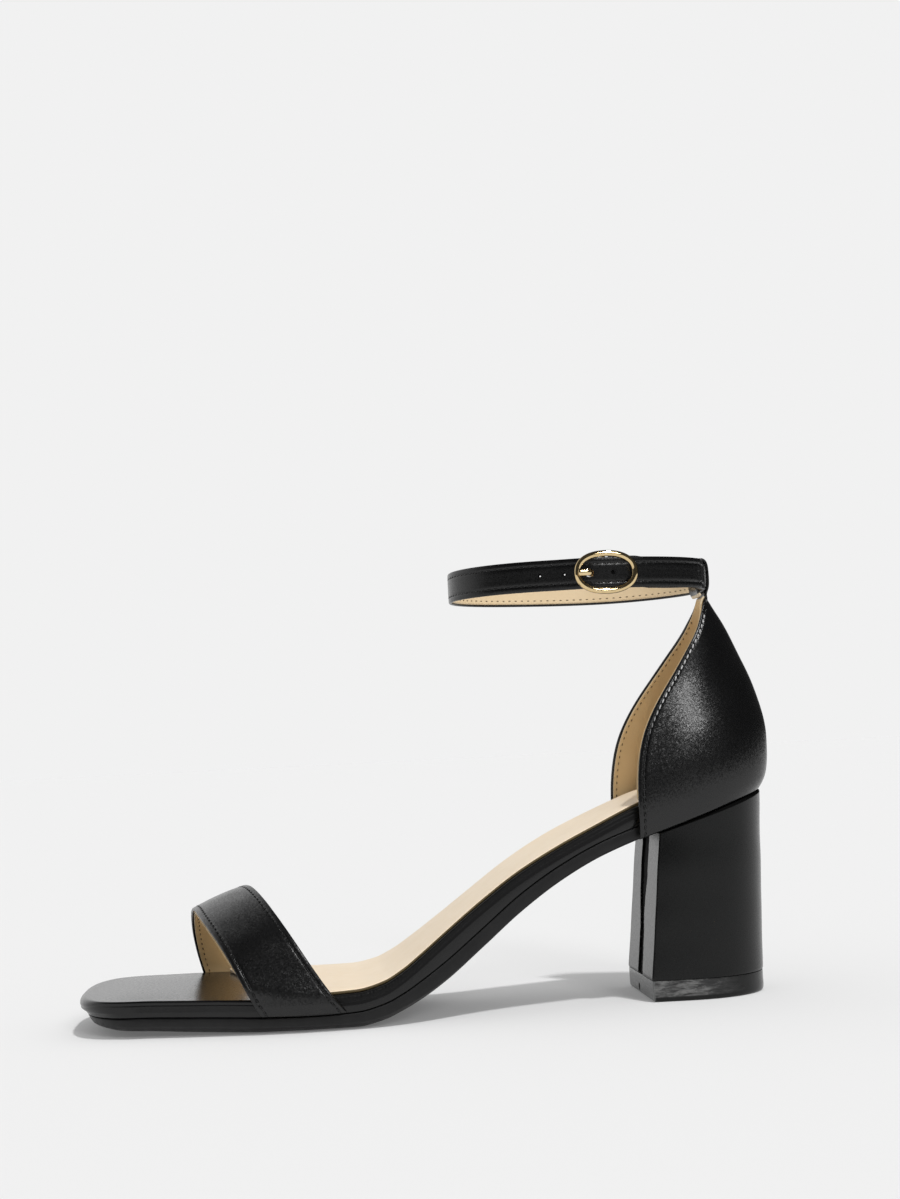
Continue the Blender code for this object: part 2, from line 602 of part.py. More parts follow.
def build_buckle():
    place = buckle_place()
    rx, rz = (BUCKLE_LONG - BUCKLE_WIRE) / 2, (BUCKLE_HIGH - BUCKLE_WIRE) / 2
    oval = []
    for k in range(48):
        a = 2 * math.pi * k / 48
        c, s = math.cos(a), math.sin(a)
        sq = lambda x, n: math.copysign(abs(x) ** (2 / n), x)
        oval.append((rx * sq(c, 2.25), FRAME_OUT, rz * sq(s, 2.25)))
    frame = tube("buckle_frame", oval, BUCKLE_WIRE / 2, "pale_gold", sides=10, closed=True, place=place)
    # the bar leaves the frame at top and bottom and passes under the free end
    deep = BAR_DEEP
    bend = [(0.0, FRAME_OUT - 0.2, -rz), (0.0, (FRAME_OUT + deep) * 0.5, -rz + 0.05), (0.0, deep + 0.35, -rz + 0.2),
            (0.0, deep, -rz + 0.9)]
    bar_path = bend + [(0.0, deep, 0.0)] + [(a, b, -c) for a, b, c in bend[::-1]]
    bar = tube("bar_guide", bar_path, BAR_D / 2, "pale_gold", sides=8, place=place)
    join(frame, [bar], "UNION")
    # the prong leans on the bar, comes up through the strap and rests on the frame's front side
    rest = FRAME_OUT + BUCKLE_WIRE / 2 + PRONG_D / 2 + GAP
    under = BAR_DEEP - 0.25
    path = [(BAR_D / 2 + GAP + 0.2, under, 0.0), (PRONG_REACH - 1.3, under, 0.0), (PRONG_REACH - 0.45, under + 0.3, 0.0),
            (PRONG_REACH - 0.05, under + 1.0, 0.0), (PRONG_REACH, -ANKLE_T * 0.5, 0.0), (PRONG_REACH + 0.05, rest - 1.5, 0.0),
            (PRONG_REACH + 0.4, rest - 0.5, 0.0), (PRONG_REACH + 1.2, rest, 0.0), (rx, rest, 0.0)]
    tube("buckle_prong", path, PRONG_WIDE / 2, "pale_gold", sides=10, wide=PRONG_D / PRONG_WIDE, place=place)


FRAME_OUT = 1.05          # middle of the frame wire, over the strap's outer face
BAR_DEEP = -(ANKLE_T + GAP + BAR_D / 2)


# ---------------------------------------------------------------- heel
def heel_ring(which, count=44):
    """Plan of the heel: straight front with rounded corners, rounded back, as (u, v)."""
    front, back, half, wide_u, front_half = HEEL[which]
    corner = 1.0
    face = [(front, 0.0), (front, front_half * 0.5), (front, front_half - corner)]
    for a in np.linspace(0.0, math.pi / 2, 4)[1:]:
        face.append((front - corner * (1 - math.cos(a)), front_half - corner * (1 - math.sin(a))))
    pts = [face[-1]]
    for t in np.linspace(0.0, 1.0, 12)[1:]:
        pts.append((front - corner + (wide_u - front + corner) * t, front_half + (half - front_half) * math.sin(t * math.pi / 2)))
    for a in np.linspace(0.0, math.pi / 2, 20)[1:]:
        pts.append((wide_u - (wide_u - back) * math.sin(a), half * math.cos(a) ** 0.98 if a < math.pi / 2 - 1e-9 else 0.0))
    half_ring = np.concatenate([face, resample(pts, count // 2 - 4)[1:]])
    other = half_ring[-2:0:-1] * np.array([1.0, -1.0])
    return np.concatenate([half_ring, other])


def stack(name, rings, colour):
    """A closed solid from rings of (u, v, z), capped flat."""
    m = len(rings[0])
    verts = [tuple(p) for ring in rings for p in ring]
    faces = []
    for a in range(len(rings) - 1):
        for k in range(m):
            r = (k + 1) % m
            faces.append((a * m + k, a * m + r, (a + 1) * m + r, (a + 1) * m + k))
    faces.append(tuple(range(m)))
    faces.append(tuple((len(rings) - 1) * m + k for k in range(m)))
    return make(name, verts, faces, colour)


def shrink(ring, inset):
    c = ring.mean(axis=0)
    d = ring - c
    return c + d * (1.0 - inset / np.linalg.norm(d, axis=1))[:, None]


def build_heel():
    low, high = heel_ring("bottom"), heel_ring("top")
    z0 = TOP_PIECE_H + GAP
    rings = []
    top = seat(high[:, 0])
    for t in (0.0, 0.25, 0.5, 0.75, 0.97):
        rings.append(np.column_stack([low + (high - low) * t, z0 + (top - z0) * t]))
    rings.append(np.column_stack([shrink(high, 0.9), top]))     # softened upper edge, under the counter
    stack("heel", rings, "black_heel")
    foot = shrink(low, 0.25)
    rows = ((0.9, 0.0), (0.25, 0.7), (0.0, 1.6), (0.0, TOP_PIECE_H - 0.5), (0.4, TOP_PIECE_H))
    stack("top_piece", [np.column_stack([shrink(foot, d), np.full(len(foot), z)]) for d, z in rows], "black_lift")


def main():
    for obj in list(bpy.data.objects):
        bpy.data.objects.remove(obj, do_unlink=True)
    build_sole()
    build_toe_strap()
    build_counter()
    build_ankle_strap()
    build_buckle()
    build_heel()
    root = bpy.data.objects.new("sandal", None)
    bpy.context.scene.collection.objects.link(root)
    for obj in list(bpy.context.scene.collection.objects):
        if obj is not root:
            place = obj.matrix_world.copy()
            obj.parent = root
            obj.matrix_world = place


main()
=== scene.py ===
"""Looks of the heeled sandal: leather, lining, stitching, buckle, sole and heel as modelled meshes round the CAD frame.

Shoe coordinates, in millimetres: u runs from the back of the heel counter to the toe, v is positive towards the
outer side, z is the height over the floor.
"""
import math

import bmesh
import bpy
import numpy as np
from mathutils import Matrix, Vector

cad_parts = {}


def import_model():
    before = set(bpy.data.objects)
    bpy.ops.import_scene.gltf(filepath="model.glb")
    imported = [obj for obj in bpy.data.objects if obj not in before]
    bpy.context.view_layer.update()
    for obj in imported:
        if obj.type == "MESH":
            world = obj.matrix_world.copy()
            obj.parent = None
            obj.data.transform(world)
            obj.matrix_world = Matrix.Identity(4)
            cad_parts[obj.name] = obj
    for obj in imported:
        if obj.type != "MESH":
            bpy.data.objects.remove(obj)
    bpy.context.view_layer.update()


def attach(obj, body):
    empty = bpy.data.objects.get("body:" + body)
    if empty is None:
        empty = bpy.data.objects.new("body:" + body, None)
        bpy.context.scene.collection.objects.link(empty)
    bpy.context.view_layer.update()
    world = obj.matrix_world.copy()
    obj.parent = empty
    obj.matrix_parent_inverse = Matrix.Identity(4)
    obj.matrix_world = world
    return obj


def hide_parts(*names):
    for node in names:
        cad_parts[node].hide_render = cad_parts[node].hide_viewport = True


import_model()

# ---------------------------------------------------------------- dimensions (mm), as in the CAD model
MM = 0.001
BACK_U, LENGTH = 1.6, 226.2
U_MID, V_MID = (BACK_U + LENGTH) / 2, 0.3
GAP = 0.3
HEEL_HEIGHT, HEEL_BACK_U, SEAT_SLOPE, BREAST_U, TOP_PIECE_H = 65.0, 4.0, 0.318, 41.8, 6.6
TOE_TIP_V, TOE_ROUND_U, TOE_POWER = -4.0, 203.0, 2.9
BOARD_BACK_U, BOARD_ROUND_U, BOARD_POWER = 8.0, 30.0, 2.2
ARCH_RISE, ARCH_U, ARCH_SPAN = 1.7, 74.0, 23.0
SOCK_T, SOCK_INSET, SOCK_FRONT = 1.0, 2.1, (160.0, 181.0)
STRAP_T, COUNTER_T = 1.6, 1.7
RING_BACK_U, RING_FRONT_U, RING_HALF_W, RING_Z, RING_POWER = 19.0, 102.4, 28.6, 135.1, 2.15
RING_MID_U, RING_HALF_L = (RING_BACK_U + RING_FRONT_U) / 2, (RING_FRONT_U - RING_BACK_U) / 2
ANKLE_T, ANKLE_W = 1.8, 9.8
LAYER = ANKLE_T + GAP
BUCKLE_U, BUCKLE_LONG, BUCKLE_HIGH, BUCKLE_WIRE = 56.4, 20.4, 13.8, 2.0
BAR_D, PRONG_D, PRONG_WIDE, PRONG_HOLE_D, PRONG_REACH, FRAME_OUT = 1.4, 1.2, 2.2, 2.9, 4.8, 1.05
BAR_DEEP = -(ANKLE_T + GAP + BAR_D / 2)
TIP_U = 24.5

SOLE = (
    # u,    lat,  med,  top,  seam, edge, tread
    (4.0,   21.7, 21.7, 72.6, 65.0, 65.0, 65.0),
    (16.0,  21.7, 21.7, 70.3, 61.5, 61.0, 61.0),
    (30.0,  21.7, 21.7, 67.0, 57.4, 57.0, 57.0),
    (43.5,  21.8, 21.5, 63.4, 57.2, 52.9, 52.4),
    (50.0,  22.2, 20.8, 60.9, 54.8, 50.7, 50.2),
    (62.0,  24.4, 18.8, 55.7, 50.6, 46.3, 45.8),
    (75.0,  26.0, 16.6, 49.7, 44.4, 39.7, 39.1),
    (88.0,  27.6, 15.2, 42.7, 36.4, 31.1, 30.5),
    (100.0, 29.4, 15.6, 34.7, 27.2, 21.7, 21.0),
    (112.0, 32.4, 19.0, 25.9, 18.2, 12.8, 11.8),
    (120.0, 34.6, 23.0, 19.9, 13.0, 8.1,  6.9),
    (126.0, 36.0, 26.4, 15.7, 9.5,  5.4,  3.9),
    (132.0, 37.0, 29.8, 12.6, 6.9,  3.2,  1.5),
    (140.0, 37.8, 33.4, 10.8, 5.2,  1.9,  0.0),
    (152.0, 38.0, 36.4, 10.4, 4.8,  1.8,  0.0),
    (168.0, 36.9, 37.4, 10.5, 5.1,  2.1,  0.0),
    (184.0, 34.4, 37.1, 10.9, 5.7,  2.8,  0.5),
    (203.0, 30.2, 35.2, 11.3, 6.2,  3.3,  1.5),
    (227.0, 22.0, 28.0, 11.6, 6.4,  3.6,  2.5),
)
SOLE_COLS = {"lat": 1, "med": 2, "top": 3, "seam": 4, "edge": 5, "tread": 6}
TOE_STRAP = (
    # v,    z_back, z_front, u_back, u_front
    (39.0,  5.6,  5.6,  143.2, 168.8),
    (38.9,  10.6, 10.6, 147.2, 171.6),
    (36.9,  17.8, 16.6, 152.2, 174.8),
    (32.2,  26.0, 23.0, 157.6, 178.6),
    (23.8,  33.4, 28.7, 163.0, 183.0),
    (12.5,  39.1, 32.7, 168.0, 187.0),
    (0.0,   41.5, 34.5, 171.8, 189.6),
    (-11.0, 40.6, 34.2, 174.6, 191.2),
    (-20.5, 36.8, 31.4, 176.2, 192.4),
    (-28.5, 30.0, 26.0, 176.6, 192.8),
    (-34.2, 21.6, 19.3, 175.0, 192.2),
    (-37.6, 14.4, 13.8, 172.6, 191.2),
    (-38.2, 10.4, 10.6, 171.0, 190.2),
    (-38.2, 5.8,  6.2,  169.2, 189.0),
)
COUNTER = (
    # u_back, z_back, u_front, z_front, half_w, fullness, turn, drawn_in
    (5.6,  64.8,  48.8, 51.1,  24.2, 3.0, 3.0,  0.0),
    (4.5,  66.2,  48.9, 53.2,  24.9, 3.0, 3.0,  0.0),
    (3.0,  68.8,  48.9, 57.0,  25.6, 3.0, 3.0,  0.1),
    (2.0,  72.5,  48.9, 62.2,  26.0, 3.0, 3.0,  0.3),
    (1.6,  77.5,  48.6, 69.0,  25.8, 3.0, 3.0,  0.7),
    (1.6,  83.0,  47.6, 76.6,  25.1, 3.0, 2.9,  1.1),
    (1.9,  88.0,  45.9, 83.0,  24.2, 2.9, 2.75, 1.2),
    (2.6,  92.5,  43.5, 88.4,  23.1, 2.75, 2.55, 1.0),
    (4.5,  99.3,  39.0, 95.9,  21.4, 2.55, 2.25, 0.6),
    (7.2,  106.6, 33.6, 103.4, 19.0, 2.4, 1.97, 0.2),
    (10.3, 114.0, 28.4, 110.8, 15.9, 2.3, 1.75, 0.0),
    (13.1, 120.4, 23.9, 117.4, 12.3, 2.2, 1.45, 0.0),
    (15.3, 124.6, 21.2, 123.0, 8.4,  2.1, 1.25, 0.0),
    (16.8, 127.4, 18.9, 127.2, 5.9,  2.0, 1.0,  0.0),
    (17.4, 129.6, 18.2, 129.6, 5.2,  2.0, 1.0,  0.0),
)
HEEL = {
    # front_u, back_u, half_w, wide_u, front_half
    "top": (41.7, 4.3, 22.6, 24.0, 20.2),
    "bottom": (46.9, 6.7, 21.4, 32.0, 20.6),
}


# ---------------------------------------------------------------- numbers
def world(points):
    """Shoe coordinates in mm to the row frame in metres."""
    p = np.asarray(points, float)
    return np.stack([p[..., 1] - V_MID, U_MID - p[..., 0], p[..., 2]], axis=-1) * MM


def smooth_row(table, key, keys):
    """Rows between a table's rows: a smooth curve through every column, without overshoot."""
    data = np.asarray(table, float)
    x = np.asarray(keys, float)
    at = np.clip(np.asarray(key, float), x[0], x[-1])
    h = np.diff(x)
    slope = np.diff(data, axis=0) / h[:, None]
    tangent = np.zeros_like(data)
    w1 = (2 * h[1:] + h[:-1])[:, None]
    w2 = (h[1:] + 2 * h[:-1])[:, None]
    same = slope[:-1] * slope[1:] > 0
    safe_a = np.where(same, slope[:-1], 1.0)
    safe_b = np.where(same, slope[1:], 1.0)
    tangent[1:-1] = np.where(same, (w1 + w2) / (w1 / safe_a + w2 / safe_b), 0.0)
    tangent[0], tangent[-1] = slope[0], slope[-1]
    i = np.clip(np.searchsorted(x, at, side="right") - 1, 0, len(h) - 1)
    t = ((at - x[i]) / h[i])[..., None]
    hh = h[i][..., None]
    return (data[i] * (1 + 2 * t) * (1 - t) ** 2 + tangent[i] * hh * t * (1 - t) ** 2
            + data[i + 1] * t * t * (3 - 2 * t) + tangent[i + 1] * hh * t * t * (t - 1))


SOLE_U = [row[0] for row in SOLE]


def sole(column, u):
    shape = np.shape(u)
    flat = np.atleast_1d(np.asarray(u, float)).ravel()
    out = smooth_row(SOLE, flat, SOLE_U)[:, SOLE_COLS[column]]
    return out.reshape(shape) if shape else float(out[0])


def seat(u):
    return HEEL_HEIGHT - SEAT_SLOPE * (np.asarray(u, float) - HEEL_BACK_U)


def lengths(p):
    return np.concatenate([[0.0], np.cumsum(np.linalg.norm(np.diff(p, axis=0), axis=1))])


def at_length(p, s):
    """Points of a polyline at the given lengths along it."""
    p = np.asarray(p, float)
    d = lengths(p[:, :3])
    return np.stack([np.interp(s, d, p[:, k]) for k in range(p.shape[1])], 1)


def resample(p, count):
    d = lengths(np.asarray(p, float))
    return at_length(p, np.linspace(0.0, d[-1], count))


def step(x, a, b):
    t = np.clip((np.asarray(x, float) - a) / (b - a), 0.0, 1.0)
    return t * t * (3 - 2 * t)


def soften(a, sigma, axis=0):
    """Gaussian smoothing along one axis that keeps the end points."""
    n = int(3.5 * sigma) + 1
    k = np.exp(-0.5 * (np.arange(-n, n + 1) / sigma) ** 2)
    k /= k.sum()
    a = np.moveaxis(np.asarray(a, float), axis, 0)
    n = min(n, len(a) - 2)
    k = k[len(k) // 2 - n:len(k) // 2 + n + 1]
    k = k / k.sum()
    head = 2 * a[0] - a[n:0:-1]
    tail = 2 * a[-1] - a[-2:-n - 2:-1]
    p = np.concatenate([head, a, tail])
    out = sum(w * p[i:i + len(a)] for i, w in enumerate(k))
    return np.moveaxis(out, 0, axis)


def unit(a):
    return a / np.maximum(np.linalg.norm(a, axis=-1, keepdims=True), 1e-12)


def grid_normals(grid):
    return unit(np.cross(np.gradient(grid, axis=0), np.gradient(grid, axis=1)))


def ripple(x, seed, waves, low, high):
    """A repeatable irregular wave, about -1 to 1, of wavelengths between low and high."""
    rng = np.random.default_rng(seed)
    out = np.zeros(np.shape(x))
    for _ in range(waves):
        out = out + np.sin(2 * math.pi * np.asarray(x) / rng.uniform(low, high) + rng.uniform(0, 2 * math.pi))
    return out / math.sqrt(waves)


def lumps(p, seed, waves, low, high):
    """The same over points in space."""
    rng = np.random.default_rng(seed)
    out = np.zeros(p.shape[:-1])
    for _ in range(waves):
        d = unit(rng.normal(size=3))
        out = out + np.sin(2 * math.pi * (p @ d) / rng.uniform(low, high) + rng.uniform(0, 2 * math.pi))
    return out / math.sqrt(waves)


# ---------------------------------------------------------------- meshes
def quads(rows, cols, base=0, ring=False, loop=False):
    """Quads of a grid; ring closes the rows, loop the columns."""
    i = np.arange(rows if ring else rows - 1)
    j = np.arange(cols if loop else cols - 1)
    i, j = np.meshgrid(i, j, indexing="ij")
    k, m = (i + 1) % rows, (j + 1) % cols
    q = np.stack([i * cols + j, i * cols + m, k * cols + m, k * cols + j], -1)
    return (base + q).reshape(-1, 4)


def piece(name, verts, faces, mats, node=None, face_mat=None, sharp=None, placed=False, values=None):
    """One visible piece of the shoe, closed and facing outwards."""
    mesh = bpy.data.meshes.new(name)
    pts = np.asarray(verts, float) if placed else world(verts)
    mesh.from_pydata(pts.tolist(), [], [tuple(int(i) for i in f) for f in faces])
    for m in mats:
        mesh.materials.append(m)
    if face_mat is not None:
        mesh.polygons.foreach_set("material_index", np.asarray(face_mat, np.int32))
    for key, row in (values or {}).items():
        layer = mesh.attributes.new(key, "FLOAT", "POINT")
        layer.data.foreach_set("value", np.asarray(row, np.float32))
    bm = bmesh.new()
    bm.from_mesh(mesh)
    bmesh.ops.remove_doubles(bm, verts=bm.verts, dist=1.5e-6)
    bmesh.ops.dissolve_degenerate(bm, edges=bm.edges, dist=2e-7)
    big = [f for f in bm.faces if len(f.verts) > 4]
    if big:
        bmesh.ops.triangulate(bm, faces=big)
    loose = [v for v in bm.verts if not v.link_faces]
    if loose:
        bmesh.ops.delete(bm, geom=loose, context="VERTS")
    bmesh.ops.recalc_face_normals(bm, faces=bm.faces)
    if bm.calc_volume(signed=True) < 0:
        bmesh.ops.reverse_faces(bm, faces=bm.faces)
    bm.to_mesh(mesh)
    bm.free()
    mesh.shade_smooth()
    if sharp is not None:
        mesh.set_sharp_from_angle(angle=math.radians(sharp))
    obj = bpy.data.objects.new(name, mesh)
    bpy.context.scene.collection.objects.link(obj)
    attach(obj, "root")
    if node:
        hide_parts(node)
    return obj


def wall(outer, inner, ring=False):
    """Closed wall between two grids. Gives points, faces and, for each face, 0 outside, 1 inside, 2 rim."""
    rows, cols = outer.shape[:2]
    n = rows * cols
    verts = np.concatenate([outer.reshape(-1, 3), inner.reshape(-1, 3)])
    a, b = quads(rows, cols, 0, ring), quads(rows, cols, n, ring)[:, ::-1]
    idx = np.arange(n).reshape(rows, cols)
    rims = []
    for j in (0, cols - 1):
        p, q = idx[:, j], np.roll(idx[:, j], -1)
        if not ring:
            p, q = p[:-1], q[:-1]
        rims.append(np.stack([p, q, q + n, p + n], -1))
    if not ring:
        for i in (0, rows - 1):
            p, q = idx[i, :-1], idx[i, 1:]
            rims.append(np.stack([p, q, q + n, p + n], -1))
    rims = np.concatenate(rims)
    faces = np.concatenate([a, b, rims])
    kind = np.concatenate([np.zeros(len(a)), np.ones(len(b)), np.full(len(rims), 2)]).astype(int)
    return verts, faces, kind


def tube(path, radius, sides, up, closed=False, flat=1.0, caps=True):
    """A rod along a path. radius may vary; flat squeezes it along up."""
    p = np.asarray(path, float)
    n = len(p)
    tan = unit(np.roll(p, -1, 0) - np.roll(p, 1, 0)) if closed else unit(np.gradient(p, axis=0))
    up = np.broadcast_to(np.asarray(up, float), p.shape)
    a = unit(up - tan * np.sum(up * tan, -1, keepdims=True))
    b = np.cross(tan, a)
    r = np.broadcast_to(np.asarray(radius, float), (n,))[:, None, None]
    t = 2 * math.pi * (np.arange(sides) + 0.5) / sides
    ring = np.cos(t)[None, :, None] * a[:, None] * flat + np.sin(t)[None, :, None] * b[:, None]
    verts = (p[:, None] + ring * r).reshape(-1, 3)
    faces = [tuple(f) for f in quads(n, sides, 0, closed, True)]
    if not closed and caps:
        faces.append(tuple(range(sides)))
        faces.append(tuple((n - 1) * sides + s for s in range(sides))[::-1])
    return verts, faces


def merge(parts):
    verts, faces, base = [], [], 0
    for v, f in parts:
        verts.append(np.asarray(v))
        faces += [tuple(int(i) + base for i in q) for q in f]
        base += len(v)
    return np.concatenate(verts), faces


def stitch_row(line, normal, pitch, length, radius, sink, rise, start=0.0, end=None, sway=0.0, seed=1):
    """Separate thread stitches along a line on a surface."""
    d = lengths(line)
    end = d[-1] if end is None else end
    count = max(1, int(round((end - start) / pitch)))
    real = (end - start) / count
    rng = np.random.default_rng(seed)
    parts = []
    k = np.linspace(-1.0, 1.0, 7)
    for c in range(count):
        mid = start + (c + 0.5) * real
        s = mid + k * length * 0.5 * rng.uniform(0.94, 1.05)
        p = np.stack([np.interp(s, d, line[:, a]) for a in range(3)], 1)
        n = unit(np.stack([np.interp(s, d, normal[:, a]) for a in range(3)], 1))
        side = unit(np.cross(n, unit(np.gradient(p, axis=0))))
        lean = sway * rng.uniform(0.6, 1.3)
        p = p + n * (rise * (1 - k ** 2) - sink)[:, None] + side * (lean * k)[:, None]
        r = radius * np.sqrt(np.clip(1 - (k * 0.97) ** 6, 0.05, 1))
        parts.append(tube(p, r, 6, n))
    return parts


# ---------------------------------------------------------------- materials
def nodes_of(name):
    mat = bpy.data.materials.new(name)
    mat.use_nodes = True
    tree = mat.node_tree
    shader = tree.nodes["Principled BSDF"]
    return mat, tree, shader


def node(tree, kind, **sets):
    n = tree.nodes.new(kind)
    for key, value in sets.items():
        if hasattr(n, key):
            setattr(n, key, value)
        else:
            n.inputs[key].default_value = value
    return n


def coords(tree, scale):
    where = node(tree, "ShaderNodeTexCoord")
    size = node(tree, "ShaderNodeMapping")
    size.inputs["Scale"].default_value = scale if hasattr(scale, "__len__") else (scale,) * 3
    tree.links.new(where.outputs["Object"], size.inputs["Vector"])
    return size.outputs["Vector"]


def noise(tree, scale, detail=3.0, rough=0.55, stretch=(1, 1, 1), warp=0.0):
    n = node(tree, "ShaderNodeTexNoise")
    n.inputs["Scale"].default_value = scale
    n.inputs["Detail"].default_value = detail
    n.inputs["Roughness"].default_value = rough
    n.inputs["Distortion"].default_value = warp
    tree.links.new(coords(tree, stretch), n.inputs["Vector"])
    return n.outputs["Fac"]


def cells(tree, scale, feature="F1", smooth=None, stretch=(1, 1, 1)):
    n = node(tree, "ShaderNodeTexVoronoi")
    n.feature = feature
    n.inputs["Scale"].default_value = scale
    tree.links.new(coords(tree, stretch), n.inputs["Vector"])
    return n.outputs["Distance"]


def spread(tree, value, low, high, from_low=0.3, from_high=0.7):
    m = node(tree, "ShaderNodeMapRange")
    m.inputs["From Min"].default_value = from_low
    m.inputs["From Max"].default_value = from_high
    m.inputs["To Min"].default_value = low
    m.inputs["To Max"].default_value = high
    tree.links.new(value, m.inputs["Value"])
    return m.outputs["Result"]


def ramp(tree, value, stops):
    r = node(tree, "ShaderNodeValToRGB")
    e = r.color_ramp.elements
    while len(e) < len(stops):
        e.new(0.5)
    for k, (pos, col) in enumerate(stops):
        e[k].position = pos
        e[k].color = (*col, 1.0)
    tree.links.new(value, r.inputs["Fac"])
    return r.outputs["Color"]


def specks(tree, size, tilt):
    """Surface normal broken into small specks, each leaning its own way."""
    n = node(tree, "ShaderNodeTexVoronoi")
    n.inputs["Scale"].default_value = 1000.0 / size
    tree.links.new(coords(tree, 1.0), n.inputs["Vector"])
    lean = node(tree, "ShaderNodeVectorMath", operation="MULTIPLY_ADD")
    tree.links.new(n.outputs["Color"], lean.inputs[0])
    lean.inputs[1].default_value = (tilt, tilt, tilt)
    lean.inputs[2].default_value = (-tilt / 2, -tilt / 2, -tilt / 2)
    face = node(tree, "ShaderNodeNewGeometry")
    both = node(tree, "ShaderNodeVectorMath", operation="ADD")
    tree.links.new(face.outputs["Normal"], both.inputs[0])
    tree.links.new(lean.outputs["Vector"], both.inputs[1])
    even = node(tree, "ShaderNodeVectorMath", operation="NORMALIZE")
    tree.links.new(both.outputs["Vector"], even.inputs[0])
    return even.outputs["Vector"]


def bumps(tree, shader, rows, base=None):
    """Layers of relief: (height output, depth in mm, strength)."""
    last = base
    for value, depth, strength in rows:
        b = node(tree, "ShaderNodeBump")
        b.inputs["Distance"].default_value = abs(depth) * MM
        b.invert = depth < 0
        b.inputs["Strength"].default_value = strength
        tree.links.new(value, b.inputs["Height"])
        if last is not None:
            tree.links.new(last, b.inputs["Normal"])
        last = b.outputs["Normal"]
    tree.links.new(last, shader.inputs["Normal"])


def black_leather(name, dark, light, rough, grain, grain_depth, fine_depth, streak=0.0, level=0.5, tilt=0.0):
    """Smooth black leather: near black with a little variation, fine grain, satin gloss."""
    mat, tree, shader = nodes_of(name)
    tone = noise(tree, 90.0, 4.0)
    tree.links.new(ramp(tree, tone, ((0.3, dark), (0.7, light))), shader.inputs["Base Color"])
    gloss = noise(tree, 1300.0, 3.0)
    tree.links.new(spread(tree, gloss, rough - 0.03, rough + 0.05), shader.inputs["Roughness"])
    rows = []
    if streak:
        rows.append((noise(tree, 700.0, 3.0, 0.5, (1.0, 0.07, 1.0)), streak, 0.6))
    rows.append((noise(tree, 1000.0 / grain, 2.0, 0.6), grain_depth, 0.9))
    rows.append((cells(tree, 1000.0 / (grain * 0.8)), -grain_depth * 0.35, 0.7))
    rows.append((noise(tree, 3600.0, 2.0), fine_depth, 0.7))
    bumps(tree, shader, rows, specks(tree, grain * 0.7, tilt) if tilt else None)
    shader.inputs["Specular IOR Level"].default_value = level
    return mat


def tan_leather(name, light, dark, rough, grain, depth, blotch=60.0):
    """Pale lining or sock: fine grain, faint blotches."""
    mat, tree, shader = nodes_of(name)
    tone = noise(tree, blotch, 5.0, 0.6)
    tree.links.new(ramp(tree, tone, ((0.28, dark), (0.72, light))), shader.inputs["Base Color"])
    tree.links.new(spread(tree, noise(tree, 300.0, 4.0), rough - 0.06, rough + 0.06), shader.inputs["Roughness"])
    bumps(tree, shader, ((noise(tree, 140.0, 3.0), 0.06, 0.5), (cells(tree, 1000.0 / grain), depth, 0.7)))
    return mat


UPPER = black_leather("upper_leather", (0.0020, 0.0020, 0.0022), (0.0034, 0.0034, 0.0036), 0.25, 0.50, 0.008, 0.004, 0.0, 0.5, 0.10)
TOE = black_leather("toe_leather", (0.0020, 0.0020, 0.0022), (0.0034, 0.0034, 0.0036), 0.29, 0.50, 0.008, 0.004, 0.0, 0.5, 0.14)
STRAP = black_leather("strap_leather", (0.0020, 0.0020, 0.0022), (0.0034, 0.0034, 0.0036), 0.27, 0.50, 0.008, 0.004, 0.0, 0.42, 0.05)
WRAP = black_leather("wrap_leather", (0.0026, 0.0026, 0.0028), (0.0042, 0.0042, 0.0044), 0.22, 0.6, 0.008, 0.004, 0.006, 0.40)
HEEL_WRAP = black_leather("heel_wrap", (0.0020, 0.0022, 0.0022), (0.0034, 0.0038, 0.0036), 0.24, 0.6, 0.010, 0.004, 0.0, 0.28)
RIM = black_leather("wrap_rim", (0.0020, 0.0020, 0.0022), (0.0034, 0.0034, 0.0036), 0.46, 0.6, 0.008, 0.004, 0.006, 0.22)
# dark matt heel core; also laid on the heel's top rows as painted shade of the gap under the counter
CORE_AND_GAP_SHADE = black_leather("heel_core_and_gap_shade", (0.0008, 0.0008, 0.0008), (0.0016, 0.0016, 0.0016), 0.8, 0.4, 0.02, 0.02, 0.0, 0.1)
SOCK = tan_leather("sock_leather", (0.86, 0.725, 0.55), (0.82, 0.68, 0.50), 0.50, 0.45, 0.02)
SOCK_EDGE = tan_leather("sock_edge", (0.15, 0.11, 0.05), (0.10, 0.07, 0.03), 0.6, 0.4, 0.02)
LINING = tan_leather("lining_leather", (0.80, 0.635, 0.415), (0.735, 0.57, 0.35), 0.52, 0.5, 0.025)
# painted shade: a darker, more saturated copy of the lining for the counter cup and the toe strap, whose linings lie in
# shade
LINING_PAINTED_SHADE = tan_leather("lining_painted_shade", (0.66, 0.475, 0.25), (0.60, 0.42, 0.21), 0.52, 0.5, 0.025)
LINING_EDGE = tan_leather("lining_edge", (0.70, 0.60, 0.44), (0.60, 0.50, 0.35), 0.6, 0.4, 0.03, 200.0)


def rubber():
    mat, tree, shader = nodes_of("outsole_rubber")
    tree.links.new(ramp(tree, noise(tree, 120.0, 5.0), ((0.3, (0.0035, 0.0035, 0.0037)), (0.75, (0.0075, 0.0075, 0.0078)))),
                   shader.inputs["Base Color"])
    tree.links.new(spread(tree, noise(tree, 420.0, 5.0), 0.38, 0.52), shader.inputs["Roughness"])
    shader.inputs["Specular IOR Level"].default_value = 0.36
    bumps(tree, shader, ((noise(tree, 900.0, 4.0), 0.03, 0.6), (noise(tree, 60.0, 2.0), 0.08, 0.4)))
    return mat


